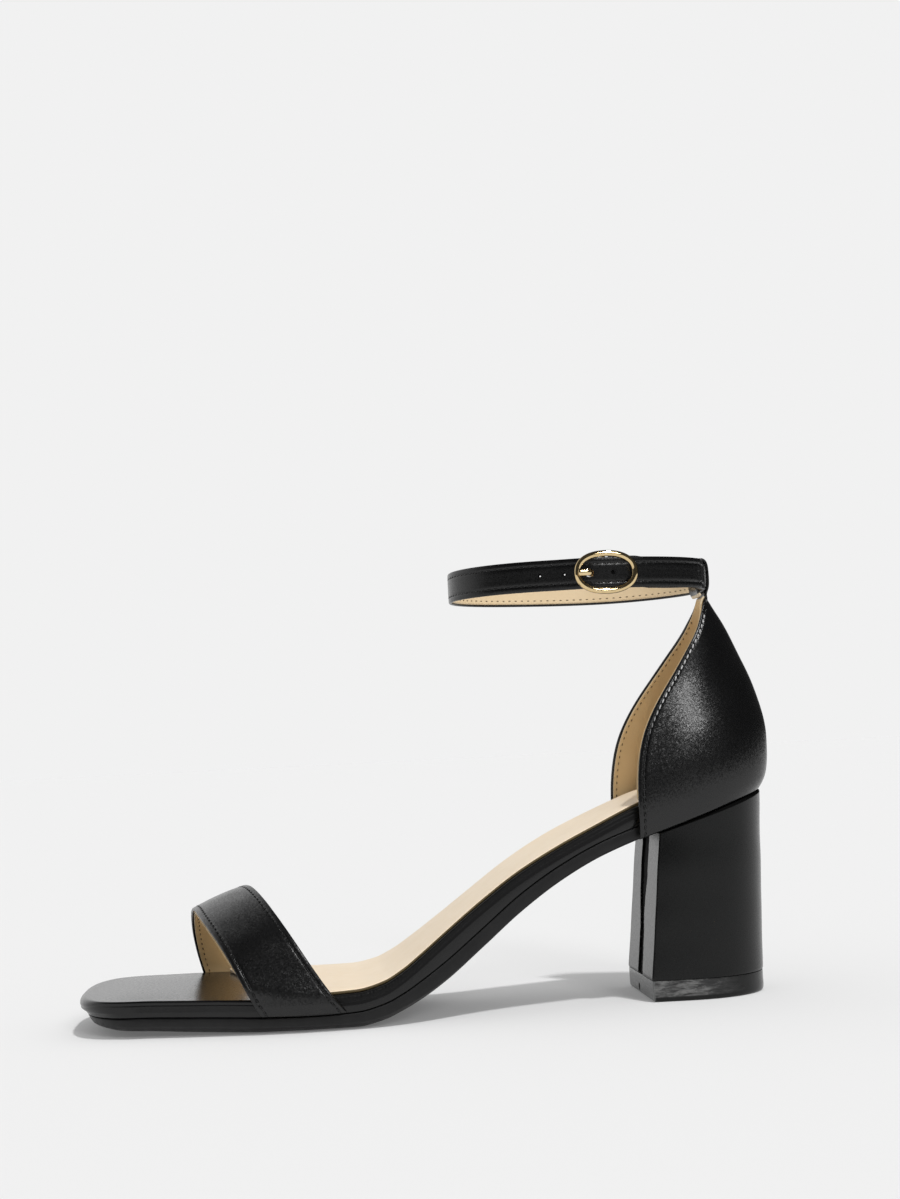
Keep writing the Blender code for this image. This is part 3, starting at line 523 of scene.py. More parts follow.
def lift_rubber():
    """Hard lift, scuffed along its sides, most towards the front; its front face is painted paler grey as a painted
    reflection of the lit floor.
    """
    mat, tree, shader = nodes_of("lift_rubber")
    fine = noise(tree, 420.0, 6.0, 0.7, (0.5, 0.5, 2.2), 0.6)
    axes = node(tree, "ShaderNodeSeparateXYZ")
    tree.links.new(coords(tree, 1.0), axes.inputs["Vector"])
    ahead = spread(tree, axes.outputs["Y"], 1.0, 0.0, 0.084, 0.103)
    above = spread(tree, axes.outputs["Z"], 0.0, 1.0, 0.0010, 0.0017)
    both = node(tree, "ShaderNodeMath", operation="MULTIPLY")
    tree.links.new(fine, both.inputs[0])
    tree.links.new(ahead, both.inputs[1])
    clear = node(tree, "ShaderNodeMath", operation="MULTIPLY")
    tree.links.new(both.outputs["Value"], clear.inputs[0])
    tree.links.new(above, clear.inputs[1])
    scuff = clear.outputs["Value"]
    tone = ramp(tree, scuff, ((0.15, (0.0045, 0.0048, 0.0046)), (0.40, (0.030, 0.030, 0.030)), (0.62, (0.145, 0.145, 0.143))))
    # painted reflection: the front face is painted a paler grey all over, standing in for the lit floor it mirrors
    painted_shine = node(tree, "ShaderNodeMix", data_type="RGBA")
    tree.links.new(spread(tree, axes.outputs["Y"], 0.85, 0.0, 0.0673, 0.0679), painted_shine.inputs["Factor"])
    tree.links.new(tone, painted_shine.inputs["A"])
    tree.links.new(ramp(tree, fine, ((0.3, (0.10, 0.103, 0.102)), (0.7, (0.155, 0.159, 0.158)))), painted_shine.inputs["B"])
    tree.links.new(painted_shine.outputs["Result"], shader.inputs["Base Color"])
    tree.links.new(spread(tree, fine, 0.17, 0.30, 0.35, 0.7), shader.inputs["Roughness"])
    tree.links.new(spread(tree, axes.outputs["Y"], 0.7, 0.27, 0.0673, 0.0679), shader.inputs["Specular IOR Level"])
    bumps(tree, shader, ((fine, 0.03, 0.5), (noise(tree, 1500.0, 3.0), 0.008, 0.5)))
    return mat


def gold():
    mat, tree, shader = nodes_of("pale_gold")
    tone = noise(tree, 380.0, 4.0)
    # painted reflection: the wire's colour darkens where it turns away from the view, standing in for the dark room
    # seen in its gloss
    turn = node(tree, "ShaderNodeLayerWeight")
    both = node(tree, "ShaderNodeMix", data_type="RGBA")
    tree.links.new(spread(tree, turn.outputs["Facing"], 0.0, 1.0, 0.34, 0.60), both.inputs["Factor"])
    tree.links.new(ramp(tree, tone, ((0.3, (0.70, 0.53, 0.28)), (0.7, (0.80, 0.63, 0.36)))), both.inputs["A"])
    tree.links.new(ramp(tree, tone, ((0.3, (0.085, 0.055, 0.020)), (0.7, (0.13, 0.085, 0.035)))), both.inputs["B"])
    tree.links.new(both.outputs["Result"], shader.inputs["Base Color"])
    shader.inputs["Metallic"].default_value = 1.0
    tree.links.new(spread(tree, noise(tree, 900.0, 5.0, 0.6), 0.04, 0.09), shader.inputs["Roughness"])
    bumps(tree, shader, ((noise(tree, 1400.0, 3.0), 0.004, 0.5),))
    return mat


def thread(name, dark, light, painted_shine=None):
    """Twisted sewing thread. The optional last argument gives two heights and two pale tones: above them the thread is
    painted paler, a painted glint.
    """
    mat, tree, shader = nodes_of(name)
    twist = node(tree, "ShaderNodeTexWave")
    twist.inputs["Scale"].default_value = 900.0
    twist.inputs["Distortion"].default_value = 2.0
    tree.links.new(coords(tree, (1.0, 1.0, 1.6)), twist.inputs["Vector"])
    tone = ramp(tree, twist.outputs["Fac"], ((0.2, dark), (0.8, light)))
    if painted_shine:
        # painted glint: paler tones mixed in by height
        axes = node(tree, "ShaderNodeSeparateXYZ")
        tree.links.new(coords(tree, 1.0), axes.inputs["Vector"])
        mix = node(tree, "ShaderNodeMix", data_type="RGBA")
        tree.links.new(spread(tree, axes.outputs["Z"], 0.0, 1.0, painted_shine[0], painted_shine[1]), mix.inputs["Factor"])
        tree.links.new(tone, mix.inputs["A"])
        tree.links.new(ramp(tree, twist.outputs["Fac"], ((0.2, painted_shine[2]), (0.8, painted_shine[3]))), mix.inputs["B"])
        tone = mix.outputs["Result"]
    tree.links.new(tone, shader.inputs["Base Color"])
    tree.links.new(spread(tree, noise(tree, 800.0, 3.0), 0.28, 0.42), shader.inputs["Roughness"])
    bumps(tree, shader, ((twist.outputs["Fac"], 0.03, 0.6),))
    return mat


RUBBER, LIFT, GOLD = rubber(), lift_rubber(), gold()
THREAD = thread("black_thread", (0.002, 0.002, 0.002), (0.006, 0.006, 0.0063))
# painted glint: the counter's thread is painted pale grey above about 82 to 96 mm height, where its stitches catch the
# light
THREAD_CUP_PAINTED_GLINT = thread("counter_thread_painted_glint", (0.004, 0.004, 0.004), (0.012, 0.012, 0.0125), (0.082, 0.096, (0.30, 0.30, 0.30), (0.62, 0.62, 0.62)))
THREAD_TAN = thread("lining_stitch", (0.050, 0.030, 0.012), (0.16, 0.105, 0.05))

# ---------------------------------------------------------------- edges of sewn leather
EDGE_D = np.array([0.0, 0.05, 0.16, 0.32, 0.5, 0.75, 1.0, 1.25, 1.46, 1.62, 1.76, 1.9, 2.04, 2.18, 2.36, 2.7, 3.2, 3.9])
STITCH_AT = 11                      # column of the stitch line in EDGE_D
STITCH_D = EDGE_D[STITCH_AT]
PITCH = 2.2
STRAP_PITCH = 2.3


def across(width, mid):
    """Places across a sheet: fine at both edges, even between."""
    inner = np.linspace(EDGE_D[-1], width - EDGE_D[-1], mid + 2)[1:-1]
    return np.concatenate([EDGE_D, inner, width - EDGE_D[::-1]])


def round_off(d, r):
    """How far a skin drops towards an edge of radius r."""
    x = np.clip(1.0 - np.asarray(d) / r, 0.0, 1.0)
    return r * (1.0 - np.sqrt(np.clip(1.0 - x * x, 0.0, 1.0)))


def sewn(d, s, total, pitch=PITCH, bead=0.05, trough=0.30, stitched=1.0):
    """Relief of a sewn edge at distance d from it and s along it: rolled bead, then a pit under every stitch."""
    count = max(1, int(round(total / pitch)))
    phase = (np.asarray(s) / (total / count)) % 1.0
    dash = step(phase, 0.06, 0.18) * (1 - step(phase, 0.82, 0.94))
    line = np.exp(-((d - STITCH_D) / 0.25) ** 2)
    return (bead * np.exp(-((d - 1.0) / 0.55) ** 2) - stitched * trough * line * (0.10 + 0.90 * dash)
            + stitched * 0.03 * np.exp(-((d - 3.0) / 0.7) ** 2))


# ---------------------------------------------------------------- sole
def board_outline(front_u=None, back_u=None, inset=0.0, count=46):
    """Plan of the board: outer and inner side from heel to toe, as (u, v), with outward normals."""
    sides = []
    for sign, col, front in ((1.0, "lat", 0), (-1.0, "med", 1)):
        pts = []
        ang = np.linspace(0.0, math.pi / 2, 240)
        if back_u is None:
            w = sole(col, BOARD_ROUND_U)
            a = BOARD_ROUND_U - BOARD_BACK_U
            pts.append(np.stack([BOARD_ROUND_U - a * np.clip(np.cos(ang), 0, 1) ** (2 / BOARD_POWER),
                                 sign * w * np.sin(ang) ** (2 / BOARD_POWER)], 1)[:-1])
        start = BOARD_ROUND_U if back_u is None else back_u
        end = TOE_ROUND_U if front_u is None else front_u[front]
        u = np.linspace(start, end, 500)
        pts.append(np.stack([u, sign * sole(col, u)], 1))
        if front_u is None:
            w = sign * sole(col, TOE_ROUND_U) - TOE_TIP_V
            a = LENGTH - TOE_ROUND_U
            pts.append(np.stack([TOE_ROUND_U + a * np.sin(ang) ** (2 / TOE_POWER),
                                 TOE_TIP_V + w * np.clip(np.cos(ang), 0, 1) ** (2 / TOE_POWER)], 1)[1:])
        p = resample(np.concatenate(pts), count)
        p = soften(p, count / 130.0)
        tan = np.gradient(p, axis=0)
        nor = unit(np.stack([-tan[:, 1], tan[:, 0]], 1)) * sign
        for k, open_end, axis in ((0, back_u is None, -1.0), (-1, front_u is None, 1.0)):
            nor[k] = (axis, 0.0) if open_end else (0.0, sign)
        p = p - nor * inset
        sides.append((p, nor))
    return sides


def slab(sides, rim, columns, top_z, bottom_z):
    """A closed slab on a plan outline.

    rim: rows of (inset, height) from the innermost bottom ring to the innermost top ring, functions of
    (u, side, length along the side) and (u, v, side, length along the side). Gives points, faces and the kind of each face: 0 rim, 1 top, 2 bottom, 3 end."""
    n = len(sides[0][0])
    verts, faces, kind, rings = [], [], [], []
    count = 0
    runs = [lengths(p) for p, _ in sides]
    for inset, height in rim:
        ring = []
        for k, (p, nor) in enumerate(sides):
            off = inset(p[:, 0], k, runs[k]) if callable(inset) else np.full(n, inset)
            q = p - nor * off[:, None]
            z = height(q[:, 0], q[:, 1], k, runs[k])
            verts.append(np.column_stack([q, z]))
            ring.append(count + np.arange(n))
            count += n
        # the two sides share their end points where they meet
        for k in (0, -1):
            if np.linalg.norm(sides[0][0][k] - sides[1][0][k]) <= 0.01:
                verts[-1][k] = verts[-2][k] = (verts[-1][k] + verts[-2][k]) / 2
        rings.append(ring)
    for a, b in zip(rings[:-1], rings[1:]):
        faces.append(np.stack([a[0][:-1], a[0][1:], b[0][1:], b[0][:-1]], 1))
        faces.append(np.stack([a[1][1:], a[1][:-1], b[1][:-1], b[1][1:]], 1))
        kind += [0] * (2 * n - 2)
    flat = np.concatenate(verts)
    fills = []
    for which, (ring, zfun) in enumerate(((rings[-1], top_z), (rings[0], bottom_z))):
        a, b = flat[ring[0]], flat[ring[1]]
        idx = np.zeros((n, columns + 1), int)
        idx[:, 0], idx[:, -1] = ring[0], ring[1]
        share = np.linspace(0, 1, columns + 1)
        for j in range(1, columns):
            q = a + (b - a) * share[j]
            q[:, 2] = zfun(q[:, 0], q[:, 1], share[j])
            verts.append(q)
            idx[:, j] = count + np.arange(n)
            count += n
        f = np.stack([idx[:-1, :-1], idx[:-1, 1:], idx[1:, 1:], idx[1:, :-1]], -1).reshape(-1, 4)
        faces.append(f)
        kind += [1 + which] * len(f)
        fills.append(idx)
    faces = [tuple(f) for f in np.concatenate(faces)]
    for k in (0, -1):
        if np.linalg.norm(sides[0][0][k] - sides[1][0][k]) > 0.01:
            faces.append(tuple(list(fills[1][k]) + [r[1][k] for r in rings[1:-1]] + list(fills[0][k][::-1])
                               + [r[0][k] for r in rings[-2:0:-1]]))
            kind.append(3)
    return np.concatenate(verts), faces, np.asarray(kind)


def board_top(u, v):
    """The board's top: raised towards the inner side at the arch."""
    inner = np.clip(-np.asarray(v) / sole("med", u), 0.0, 1.0)
    return sole("top", u) + ARCH_RISE * np.exp(-((np.asarray(u) - ARCH_U) / ARCH_SPAN) ** 2) * inner ** 2


def round_toe(u):
    """How far round the toe: the side of the sole slopes inwards there."""
    return step(u, 204.0, 226.0)


def toe_tip(u):
    """How near to the very tip of the toe: the top rolls over softly there."""
    return step(u, 216.5, 225.5)


def build_sole():
    seam = lambda u: sole("seam", u)
    bottom = lambda u: np.where(u < BREAST_U + 0.2, seat(u) + GAP, seam(u))

    def gather(u, side, s):
        """Fine pleats of the wrap where the board bends behind the toe strap, fading away from it."""
        bend = np.exp(-((u - 134.0) / 14.0) ** 2) + 0.07
        return bend * (0.6 * ripple(s, 11 + side, 4, 0.9, 1.5) + 0.4 * ripple(s, 31 + side, 3, 2.2, 4.0))

    def row(inset, toe_in, z, amp=0.0, lift=0.0):
        return (lambda u, k, s: inset + toe_in * round_toe(u) + amp * gather(u, k, s),
                lambda u, v, k, s: z(u, v) + lift * gather(u, k, s))

    def crease(inset, toe_in, d, amp):
        """The line under the rim: clear along the waist, shallow and higher beside the toes."""
        down = lambda u: 1.75 + 0.35 * step(u, 105.0, 125.0) - 0.85 * step(u, 150.0, 180.0) + 1.55 * toe_tip(u)
        return (lambda u, k, s: inset * (1 - 0.55 * step(u, 150.0, 176.0)) + toe_in * round_toe(u) + amp * gather(u, k, s),
                lambda u, v, k, s: board_top(u, v) - down(u) - d)

    def edge_round(turn, toe_in, amp, lift):
        """Turn of the rim into the top: full along the waist, tight at the toe."""
        r = lambda u: 1.05 - 0.55 * step(u, 150.0, 185.0) + 1.6 * toe_tip(u)
        return (lambda u, k, s: r(u) * (1 - math.cos(turn)) + toe_in * round_toe(u) + amp * gather(u, k, s),
                lambda u, v, k, s: board_top(u, v) - r(u) * (1 - math.sin(turn)) + lift * gather(u, k, s))

    under = lambda d: (lambda u, v: bottom(u) + d)
    over = lambda d: (lambda u, v: board_top(u, v) - d)
    mid = lambda u, v: 0.5 * (bottom(u) + 1.0 + board_top(u, v) - 3.2)
    rim = [
        row(5.0, 2.0, under(0.0)), row(1.0, 2.0, under(0.0)), row(0.58, 2.0, under(0.04)), row(0.32, 1.95, under(0.18)),
        row(0.13, 1.85, under(0.46)), row(0.03, 1.7, under(0.95)), row(-0.05, 0.95, mid, 0.015), row(-0.02, 0.42, over(3.3), 0.015),
        crease(0.0, 0.33, 0.46, 0.02), crease(0.03, 0.30, 0.22, 0.03), crease(0.10, 0.28, 0.06, 0.03),
        crease(0.11, 0.26, -0.02, 0.04), crease(0.05, 0.22, -0.13, 0.08), crease(0.0, 0.16, -0.34, 0.13),
        edge_round(0.0, 0.06, 0.17, 0.08), edge_round(0.30, 0.03, 0.17, 0.11), edge_round(0.62, 0.0, 0.15, 0.13),
        edge_round(0.95, 0.0, 0.12, 0.13), edge_round(1.26, 0.0, 0.08, 0.11), edge_round(math.pi / 2, 0.0, 0.05, 0.08),
        (lambda u, k, s: 1.6 + 1.7 * toe_tip(u), lambda u, v, k, s: board_top(u, v) + 0.04 * gather(u, k, s)),
        (lambda u, k, s: 2.6 + 1.7 * toe_tip(u), lambda u, v, k, s: board_top(u, v)),
    ]
    sides = board_outline(count=760)
    toe_pad = lambda u, s: 0.35 * step(u, 178.0, 200.0) * (1 - abs(2 * s - 1) ** 3) * (1 - step(u, 206.0, 221.0))
    verts, faces, kind = slab(sides, rim, 22, lambda u, v, s: board_top(u, v) + toe_pad(u, s), lambda u, v, s: bottom(u))
    # handling has dulled the rim along the waist
    strips = 2 * (len(sides[0][0]) - 1)
    dull = np.zeros(len(faces), int)
    for i in range(7 * strips, (len(rim) - 1) * strips):
        u, v = verts[list(faces[i]), :2].mean(axis=0)
        dull[i] = u < (158.0 if v > 0 else 180.0)
    piece("midsole_wrap", verts, faces, [WRAP, RIM], "midsole", face_mat=dull)

    edge = lambda u: sole("edge", u)
    tread = lambda u: sole("tread", u)
    low = lambda share: (lambda u, v, k, s: edge(u) + (tread(u) - edge(u)) * share)
    lip = GAP - 0.22
    side = lambda inset, toe_in: (lambda u, k, s: inset + toe_in * round_toe(u))
    rim = [
        (side(3.2, 4.0), low(0.74)), (side(1.7, 3.9), low(0.42)), (side(1.0, 3.8), low(0.18)),
        (side(0.62, 3.6), lambda u, v, k, s: edge(u) + 0.10), (side(0.38, 3.45), lambda u, v, k, s: edge(u) + 0.32),
        (side(0.26, 3.3), lambda u, v, k, s: edge(u) + 0.65),
        (lambda u, k, s: 0.22 + 2.8 * round_toe(u) + 0.02 * ripple(s, 5 + k, 4, 3.0, 9.0), lambda u, v, k, s: 0.5 * (edge(u) + seam(u))),
        (side(0.20, 2.35), lambda u, v, k, s: seam(u) - lip - 0.42), (side(0.26, 2.3), lambda u, v, k, s: seam(u) - lip - 0.18),
        (side(0.42, 2.3), lambda u, v, k, s: seam(u) - lip - 0.05), (side(0.8, 2.3), lambda u, v, k, s: seam(u) - lip - 0.02),
        (side(2.4, 2.3), lambda u, v, k, s: seam(u) - lip - 0.02),
    ]
    crown = lambda s: 1.0 - abs(2 * s - 1) ** 4
    verts, faces, kind = slab(
        board_outline(back_u=BREAST_U + 0.75, count=520), rim, 16, lambda u, v, s: seam(u) - lip - 0.02,
        lambda u, v, s: np.where(tread(u) <= 0.001, tread(u), edge(u) + (tread(u) - edge(u)) * (0.74 + 0.26 * crown(s))))
    piece("outsole_rubber", verts, faces, [RUBBER], "outsole", sharp=60)

    base = lambda u, v, k, s: board_top(u, v) + 0.05
    high = lambda d: (lambda u, v, k, s: board_top(u, v) + GAP + SOCK_T - d)
    rim = [
        (0.7, base), (0.15, lambda u, v, k, s: board_top(u, v) + 0.07), (0.0, lambda u, v, k, s: board_top(u, v) + 0.3),
        (0.0, high(0.55)), (0.06, high(0.36)), (0.2, high(0.19)), (0.45, high(0.07)), (0.9, high(0.0)), (1.8, high(-0.07)),
        (3.4, high(-0.14)),
    ]
    pillow = lambda s: 0.16 + 0.20 * (1 - abs(2 * s - 1) ** 2.5)
    sock = board_outline(front_u=SOCK_FRONT, inset=SOCK_INSET, count=420)
    verts, faces, kind = slab(sock, rim, 26, lambda u, v, s: board_top(u, v) + GAP + SOCK_T + pillow(s),
                              lambda u, v, s: board_top(u, v) + 0.05)
    n = len(sock[0][0])
    mat = np.where(kind == 0, 1, 0)
    strips = 2 * (n - 1)
    mat[4 * strips:9 * strips] = 0
    piece("insole_sock", verts, faces, [SOCK, SOCK_EDGE], "insole", face_mat=mat)


# ---------------------------------------------------------------- upper: toe strap
def build_toe_strap():
    rows = np.asarray(TOE_STRAP)
    keys = np.concatenate([[0.0], np.cumsum(np.hypot(np.diff(rows[:, 0]), np.diff(rows[:, 1])))])
    count = 330
    fine = soften(smooth_row(rows, np.linspace(0, keys[-1], count), keys), 9.0)
    mid = 16
    cols = 2 * len(EDGE_D) + mid
    grid = np.zeros((count, cols, 3))
    dist = np.zeros((count, cols))
    wide = np.zeros(count)
    for i, (v, zb, zf, ub, uf) in enumerate(fine):
        width = math.hypot(uf - ub, zf - zb)
        wide[i] = width
        dist[i] = across(width, mid)
        t = dist[i] / width
        u = ub + (uf - ub) * t
        z = zb + (zf - zb) * t
        reach = sole("lat", u) if v > 0 else sole("med", u)
        beside = 1.0 - step(z, 10.5, 15.5)
        hug = math.copysign(1.0, v) * (reach + GAP + STRAP_T / 2 + 0.1)
        crown = 0.5 * np.sin(math.pi * t) * step(z, 12.0, 26.0)
        grid[i] = np.column_stack([u, v + (hug - v) * beside, z + crown])
    grid = soften(grid, 4.0)
    n = grid_normals(grid)
    if np.sum(n * (grid - np.array([172.0, 0.0, 4.0]))) < 0:
        n = -n
    run = np.stack([lengths(grid[:, STITCH_AT]), lengths(grid[:, -1 - STITCH_AT])])
    d_back, d_front = dist, wide[:, None] - dist
    near = np.minimum(d_back, d_front)
    relief = np.where(d_back < d_front, sewn(d_back, run[0][:, None], run[0][-1]), sewn(d_front, run[1][:, None], run[1][-1]))
    soft = 0.06 * lumps(grid, 3, 6, 9.0, 22.0) * step(near, 2.5, 6.0)
    # the ends thin out and tuck in between board and outsole
    tuck = 0.75 * (1 - step(grid[..., 2], 5.2, 8.6))
    outer = grid + n * (STRAP_T / 2 - round_off(near, 0.5) + relief + soft - tuck)[..., None]
    inner = grid + n * (STRAP_T / 2 - 0.95 + round_off(near, 0.45) - tuck * 0.4)[..., None]
    edge = near < 1e-6
    inner[edge] = outer[edge]
    verts, faces, kind = wall(outer, inner)
    piece("toe_strap_leather", verts, faces, [TOE], "toe_strap")
    keep = np.arange(5, cols)
    ahead = unit(grid[:, -1] - grid[:, -4])
    shows = step(grid[:, -1, 2], 16.0, 20.0) * step(grid[:, -1, 1], -14.0, -2.0)
    out = 0.25 * shows - 0.85 * (1 - shows)
    slide = out[:, None] * np.clip(1 - d_front[:, keep] / EDGE_D[-1], 0.0, 1.0)
    g = grid[:, keep] + ahead[:, None] * slide[..., None]
    m = n[:, keep]
    near_l = np.minimum(d_back[:, keep] - EDGE_D[5], d_front[:, keep])
    face = g - m * (STRAP_T / 2 - round_off(near_l, 0.3) * 0.8)[..., None]
    back = g + m * (STRAP_T / 2 - 0.97)
    verts, faces, kind = wall(face, back)
    piece("toe_strap_lining", verts, faces, [LINING_PAINTED_SHADE, LINING_EDGE], face_mat=np.where(kind == 2, 1, 0))
    parts, dots = [], []
    for c, r in ((STITCH_AT, run[0]), (cols - 1 - STITCH_AT, run[1])):
        line = outer[:, c] + n[:, c] * 0.02
        line = line + n[:, c] * (-0.25 - relief[:, c])[:, None]
        parts += stitch_row(line, n[:, c], PITCH, PITCH * 0.78, 0.22, 0.0, 0.14, sway=0.12, seed=c)
        under = face[:, c - 5] - m[:, c - 5] * 0.02
        dots += stitch_row(under, -m[:, c - 5], PITCH, 1.0, 0.19, 0.08, 0.10, seed=c + 5)
    verts, faces = merge(parts)
    piece("toe_strap_stitching", verts, faces, [THREAD])
    verts, faces = merge(dots)
    piece("toe_strap_lining_stitching", verts, faces, [THREAD_TAN])


# ---------------------------------------------------------------- upper: heel counter
LOOP_PATH = (
    # u, z, half width of the tab, from the counter's top up outside the strap, over it and down inside
    (17.05, 127.3, 5.9), (17.75, 128.9, 5.5), (17.15, 130.3, 5.45), (16.62, 132.2, 5.5), (16.52, 135.1, 5.5), (16.60, 138.0, 5.5),
    (17.05, 140.2, 5.5), (18.0, 141.15, 5.5), (19.0, 141.4, 5.5), (20.0, 141.15, 5.5), (20.95, 140.2, 5.5),
    (21.35, 138.0, 5.5), (21.40, 135.1, 5.5), (21.35, 132.2, 5.4), (21.0, 130.0, 5.3), (20.2, 128.4, 5.2),
)


def ring_bend(v):
    """How far the ankle ring lies in front of its back end, v to the side."""
    return RING_HALF_L * (1.0 - (1.0 - np.abs(np.asarray(v) / RING_HALF_W) ** RING_POWER) ** (1 / RING_POWER))


def counter_rows(levels):
    """Outer face of the counter as rows from the outer front edge round the back to the inner one."""
    rows = np.asarray(COUNTER)[:-1]
    keys = np.concatenate([[0.0], np.cumsum(np.hypot(np.diff(rows[:, 0]), np.diff(rows[:, 1])))])
    fine = soften(smooth_row(rows, np.linspace(0, keys[-1], levels), keys), 6.0)
    a = np.linspace(0.0, math.pi / 2, 400)
    out = []
    for ub, zb, uf, zf, hw, p, turn, draw in fine:
        x = 1.0 - np.clip(np.cos(a), 0.0, 1.0) ** (2 / turn)
        v = hw * np.sin(a) ** (2 / p) - draw * np.clip(2 * x - 1, 0.0, 1.0) ** 2
        half = np.column_stack([ub + (uf - ub) * x, v, zb + (zf - zb) * x])
        out.append(np.concatenate([half[::-1], half[1:] * np.array([1.0, -1.0, 1.0])]))
    return out


def build_counter():
    levels, mid = 230, 58
    lines = counter_rows(levels)
    loop = np.asarray(LOOP_PATH)
    k = lengths(loop[:, :2])
    fine = soften(smooth_row(loop, np.linspace(0, k[-1], 130), k), 2.5)[1:]
    for u, z, hw in fine:
        v = np.linspace(hw, -hw, 160)
        lines.append(np.column_stack([u + ring_bend(v), v, np.full(len(v), z)]))
    count = len(lines)
    cols = 2 * len(EDGE_D) + mid
    grid = np.zeros((count, cols, 3))
    dist = np.zeros((count, cols))
    wide = np.zeros(count)
    for i, line in enumerate(lines):
        wide[i] = lengths(line)[-1]
        dist[i] = across(wide[i], mid)
        grid[i] = at_length(line, dist[i])
    grid[0, :, 2] = seat(grid[0, :, 0]) + GAP
    grid = soften(grid, 2.0)
    grid[:levels - 30] = soften(grid[:levels - 30], 3.0)
    n = grid_normals(grid)
    if np.sum(n[:levels] * (grid[:levels] - np.array([30.0, 0.0, 90.0]))) < 0:
        n = -n
    # the lower edge stays on the heel seat
    n[0] = unit(n[0] * np.array([1.0, 1.0, 0.0]))
    d_out, d_in = dist, wide[:, None] - dist
    near = np.minimum(d_out, d_in)
    run = np.stack([lengths(grid[:, STITCH_AT]), lengths(grid[:, -1 - STITCH_AT])])
    row = np.arange(count)
    sewn_rows = (1.0 - step(row, levels - 16, levels - 4))[:, None]
    last = int(levels - 14)
    relief = np.where(d_out < d_in, sewn(d_out, run[0][:, None], run[0][last], stitched=sewn_rows),
                      sewn(d_in, run[1][:, None], run[1][last], stitched=sewn_rows))
    relief *= (0.35 + 0.65 * sewn_rows)
    soft = 0.07 * lumps(grid, 8, 7, 11.0, 30.0) * step(near, 2.5, 7.0)
    # lower edge turned in under the heel seat
    turned = np.arange(count)[:, None] * 0.0
    low = run[0][:, None]
    turned = round_off(low, 0.9) * 0.6
    end_in = (run[0][-1] - run[0])[:, None]
    thick = 0.98
    outer = grid + n * (-round_off(near, 0.48) + relief + soft - turned - round_off(end_in, 0.4))[..., None]
    inner = grid + n * (-thick + round_off(near, 0.48) + round_off(end_in, 0.4) * 0.9)[..., None]
    edge = near < 1e-6
    inner[edge] = outer[edge]
    verts, faces, kind = wall(outer, inner)
    # the tab's inner end shows its raw, pale cut
    raw = np.zeros(len(faces), int)
    raw[(faces // cols % count).min(axis=1) >= count - 6] = 1
    piece("counter_leather", verts, faces, [UPPER, LINING_EDGE], "heel_counter", face_mat=raw)
    # lining: its raw edge shows beside the turned leather edge
    top_row = levels + 6
    rows = slice(0, top_row)
    keep = np.arange(0, cols - 5)
    ahead = unit(grid[rows, 0] - grid[rows, 3])
    level = grid[rows, 0, 2] - board_top(grid[rows, 0, 0], grid[rows, 0, 1]) - GAP - SOCK_T
    shows = step(level, -0.5, 1.5)
    out = 0.30 * shows - 0.85 * (1 - shows)
    slide = out[:, None] * np.clip(1 - d_out[rows][:, keep] / EDGE_D[-1], 0.0, 1.0)
    g = grid[rows][:, keep] + ahead[:, None] * slide[..., None]
    m = n[rows][:, keep]
    near_l = np.minimum(d_out[rows][:, keep], d_in[rows][:, keep] - EDGE_D[5])
    face = g + m * (-COUNTER_T + round_off(near_l, 0.35) * 0.7)[..., None]
    back = g - m * (thick + 0.02)
    face[0, :, 2] = back[0, :, 2] = seat(g[0, :, 0]) + GAP
    verts, faces, kind = wall(face, back)
    piece("counter_lining", verts, faces, [LINING_PAINTED_SHADE, LINING_EDGE], face_mat=np.where(kind == 2, 1, 0))
    parts, dots = [], []
    for c, r in ((STITCH_AT, run[0]), (cols - 1 - STITCH_AT, run[1])):
        line = outer[:last, c] + n[:last, c] * (-0.25 - relief[:last, c] + 0.02)[:, None]
        parts += stitch_row(line, n[:last, c], PITCH, PITCH * 0.78, 0.25, 0.0, 0.22, sway=0.16, seed=c)
        under = face[:last, c] - m[:last, c] * 0.02
        dots += stitch_row(under, -m[:last, c], PITCH, 0.85, 0.18, 0.08, 0.10, seed=c + 5)
    verts, faces = merge(parts)
    piece("counter_stitching", verts, faces, [THREAD_CUP_PAINTED_GLINT])
    verts, faces = merge(dots)
    piece("counter_lining_stitching", verts, faces, [THREAD_TAN])


# ---------------------------------------------------------------- ankle strap and buckle
def ring_line():
    """Dense middle line once round the ring, from the back over the outer side, with outward normals."""
    ang = np.linspace(0.0, 2 * math.pi, 2881)
    sq = lambda x: np.copysign(np.abs(x) ** (2 / RING_POWER), x)
    p = np.stack([RING_MID_U - RING_HALF_L * sq(np.cos(ang)), RING_HALF_W * sq(np.sin(ang))], 1)
    p = resample(p, 1200)
    tan = np.gradient(p, axis=0)
    tan[0] = tan[-1] = (0.0, 1.0)
    tan = unit(tan)
    return p, np.stack([-tan[:, 1], tan[:, 0]], 1)


def outer_side_index(p, u):
    return int(np.argmin(np.abs(p[:len(p) // 2, 0] - u)))


def buckle_place():
    """Frame of the buckle: x towards the toe along the strap, y outwards, z up; origin on the strap's outer face."""
    p, nor = ring_line()
    k = outer_side_index(p, BUCKLE_U)
    out = np.array([nor[k][1], -nor[k][0], 0.0])
    out /= np.linalg.norm(out)
    face = p[k] + nor[k] * (LAYER + ANKLE_T / 2)
    pos = Vector(((face[1] - V_MID) * MM, (U_MID - face[0]) * MM, RING_Z * MM))
    y = Vector(out)
    z = Vector((0, 0, 1))
    x = y.cross(z)
    return Matrix.Translation(pos) @ Matrix((x, y, z)).transposed().to_4x4()


def in_buckle(points):
    m = np.array(buckle_place())
    p = np.asarray(points, float) * MM
    return p @ m[:3, :3].T + m[:3, 3]


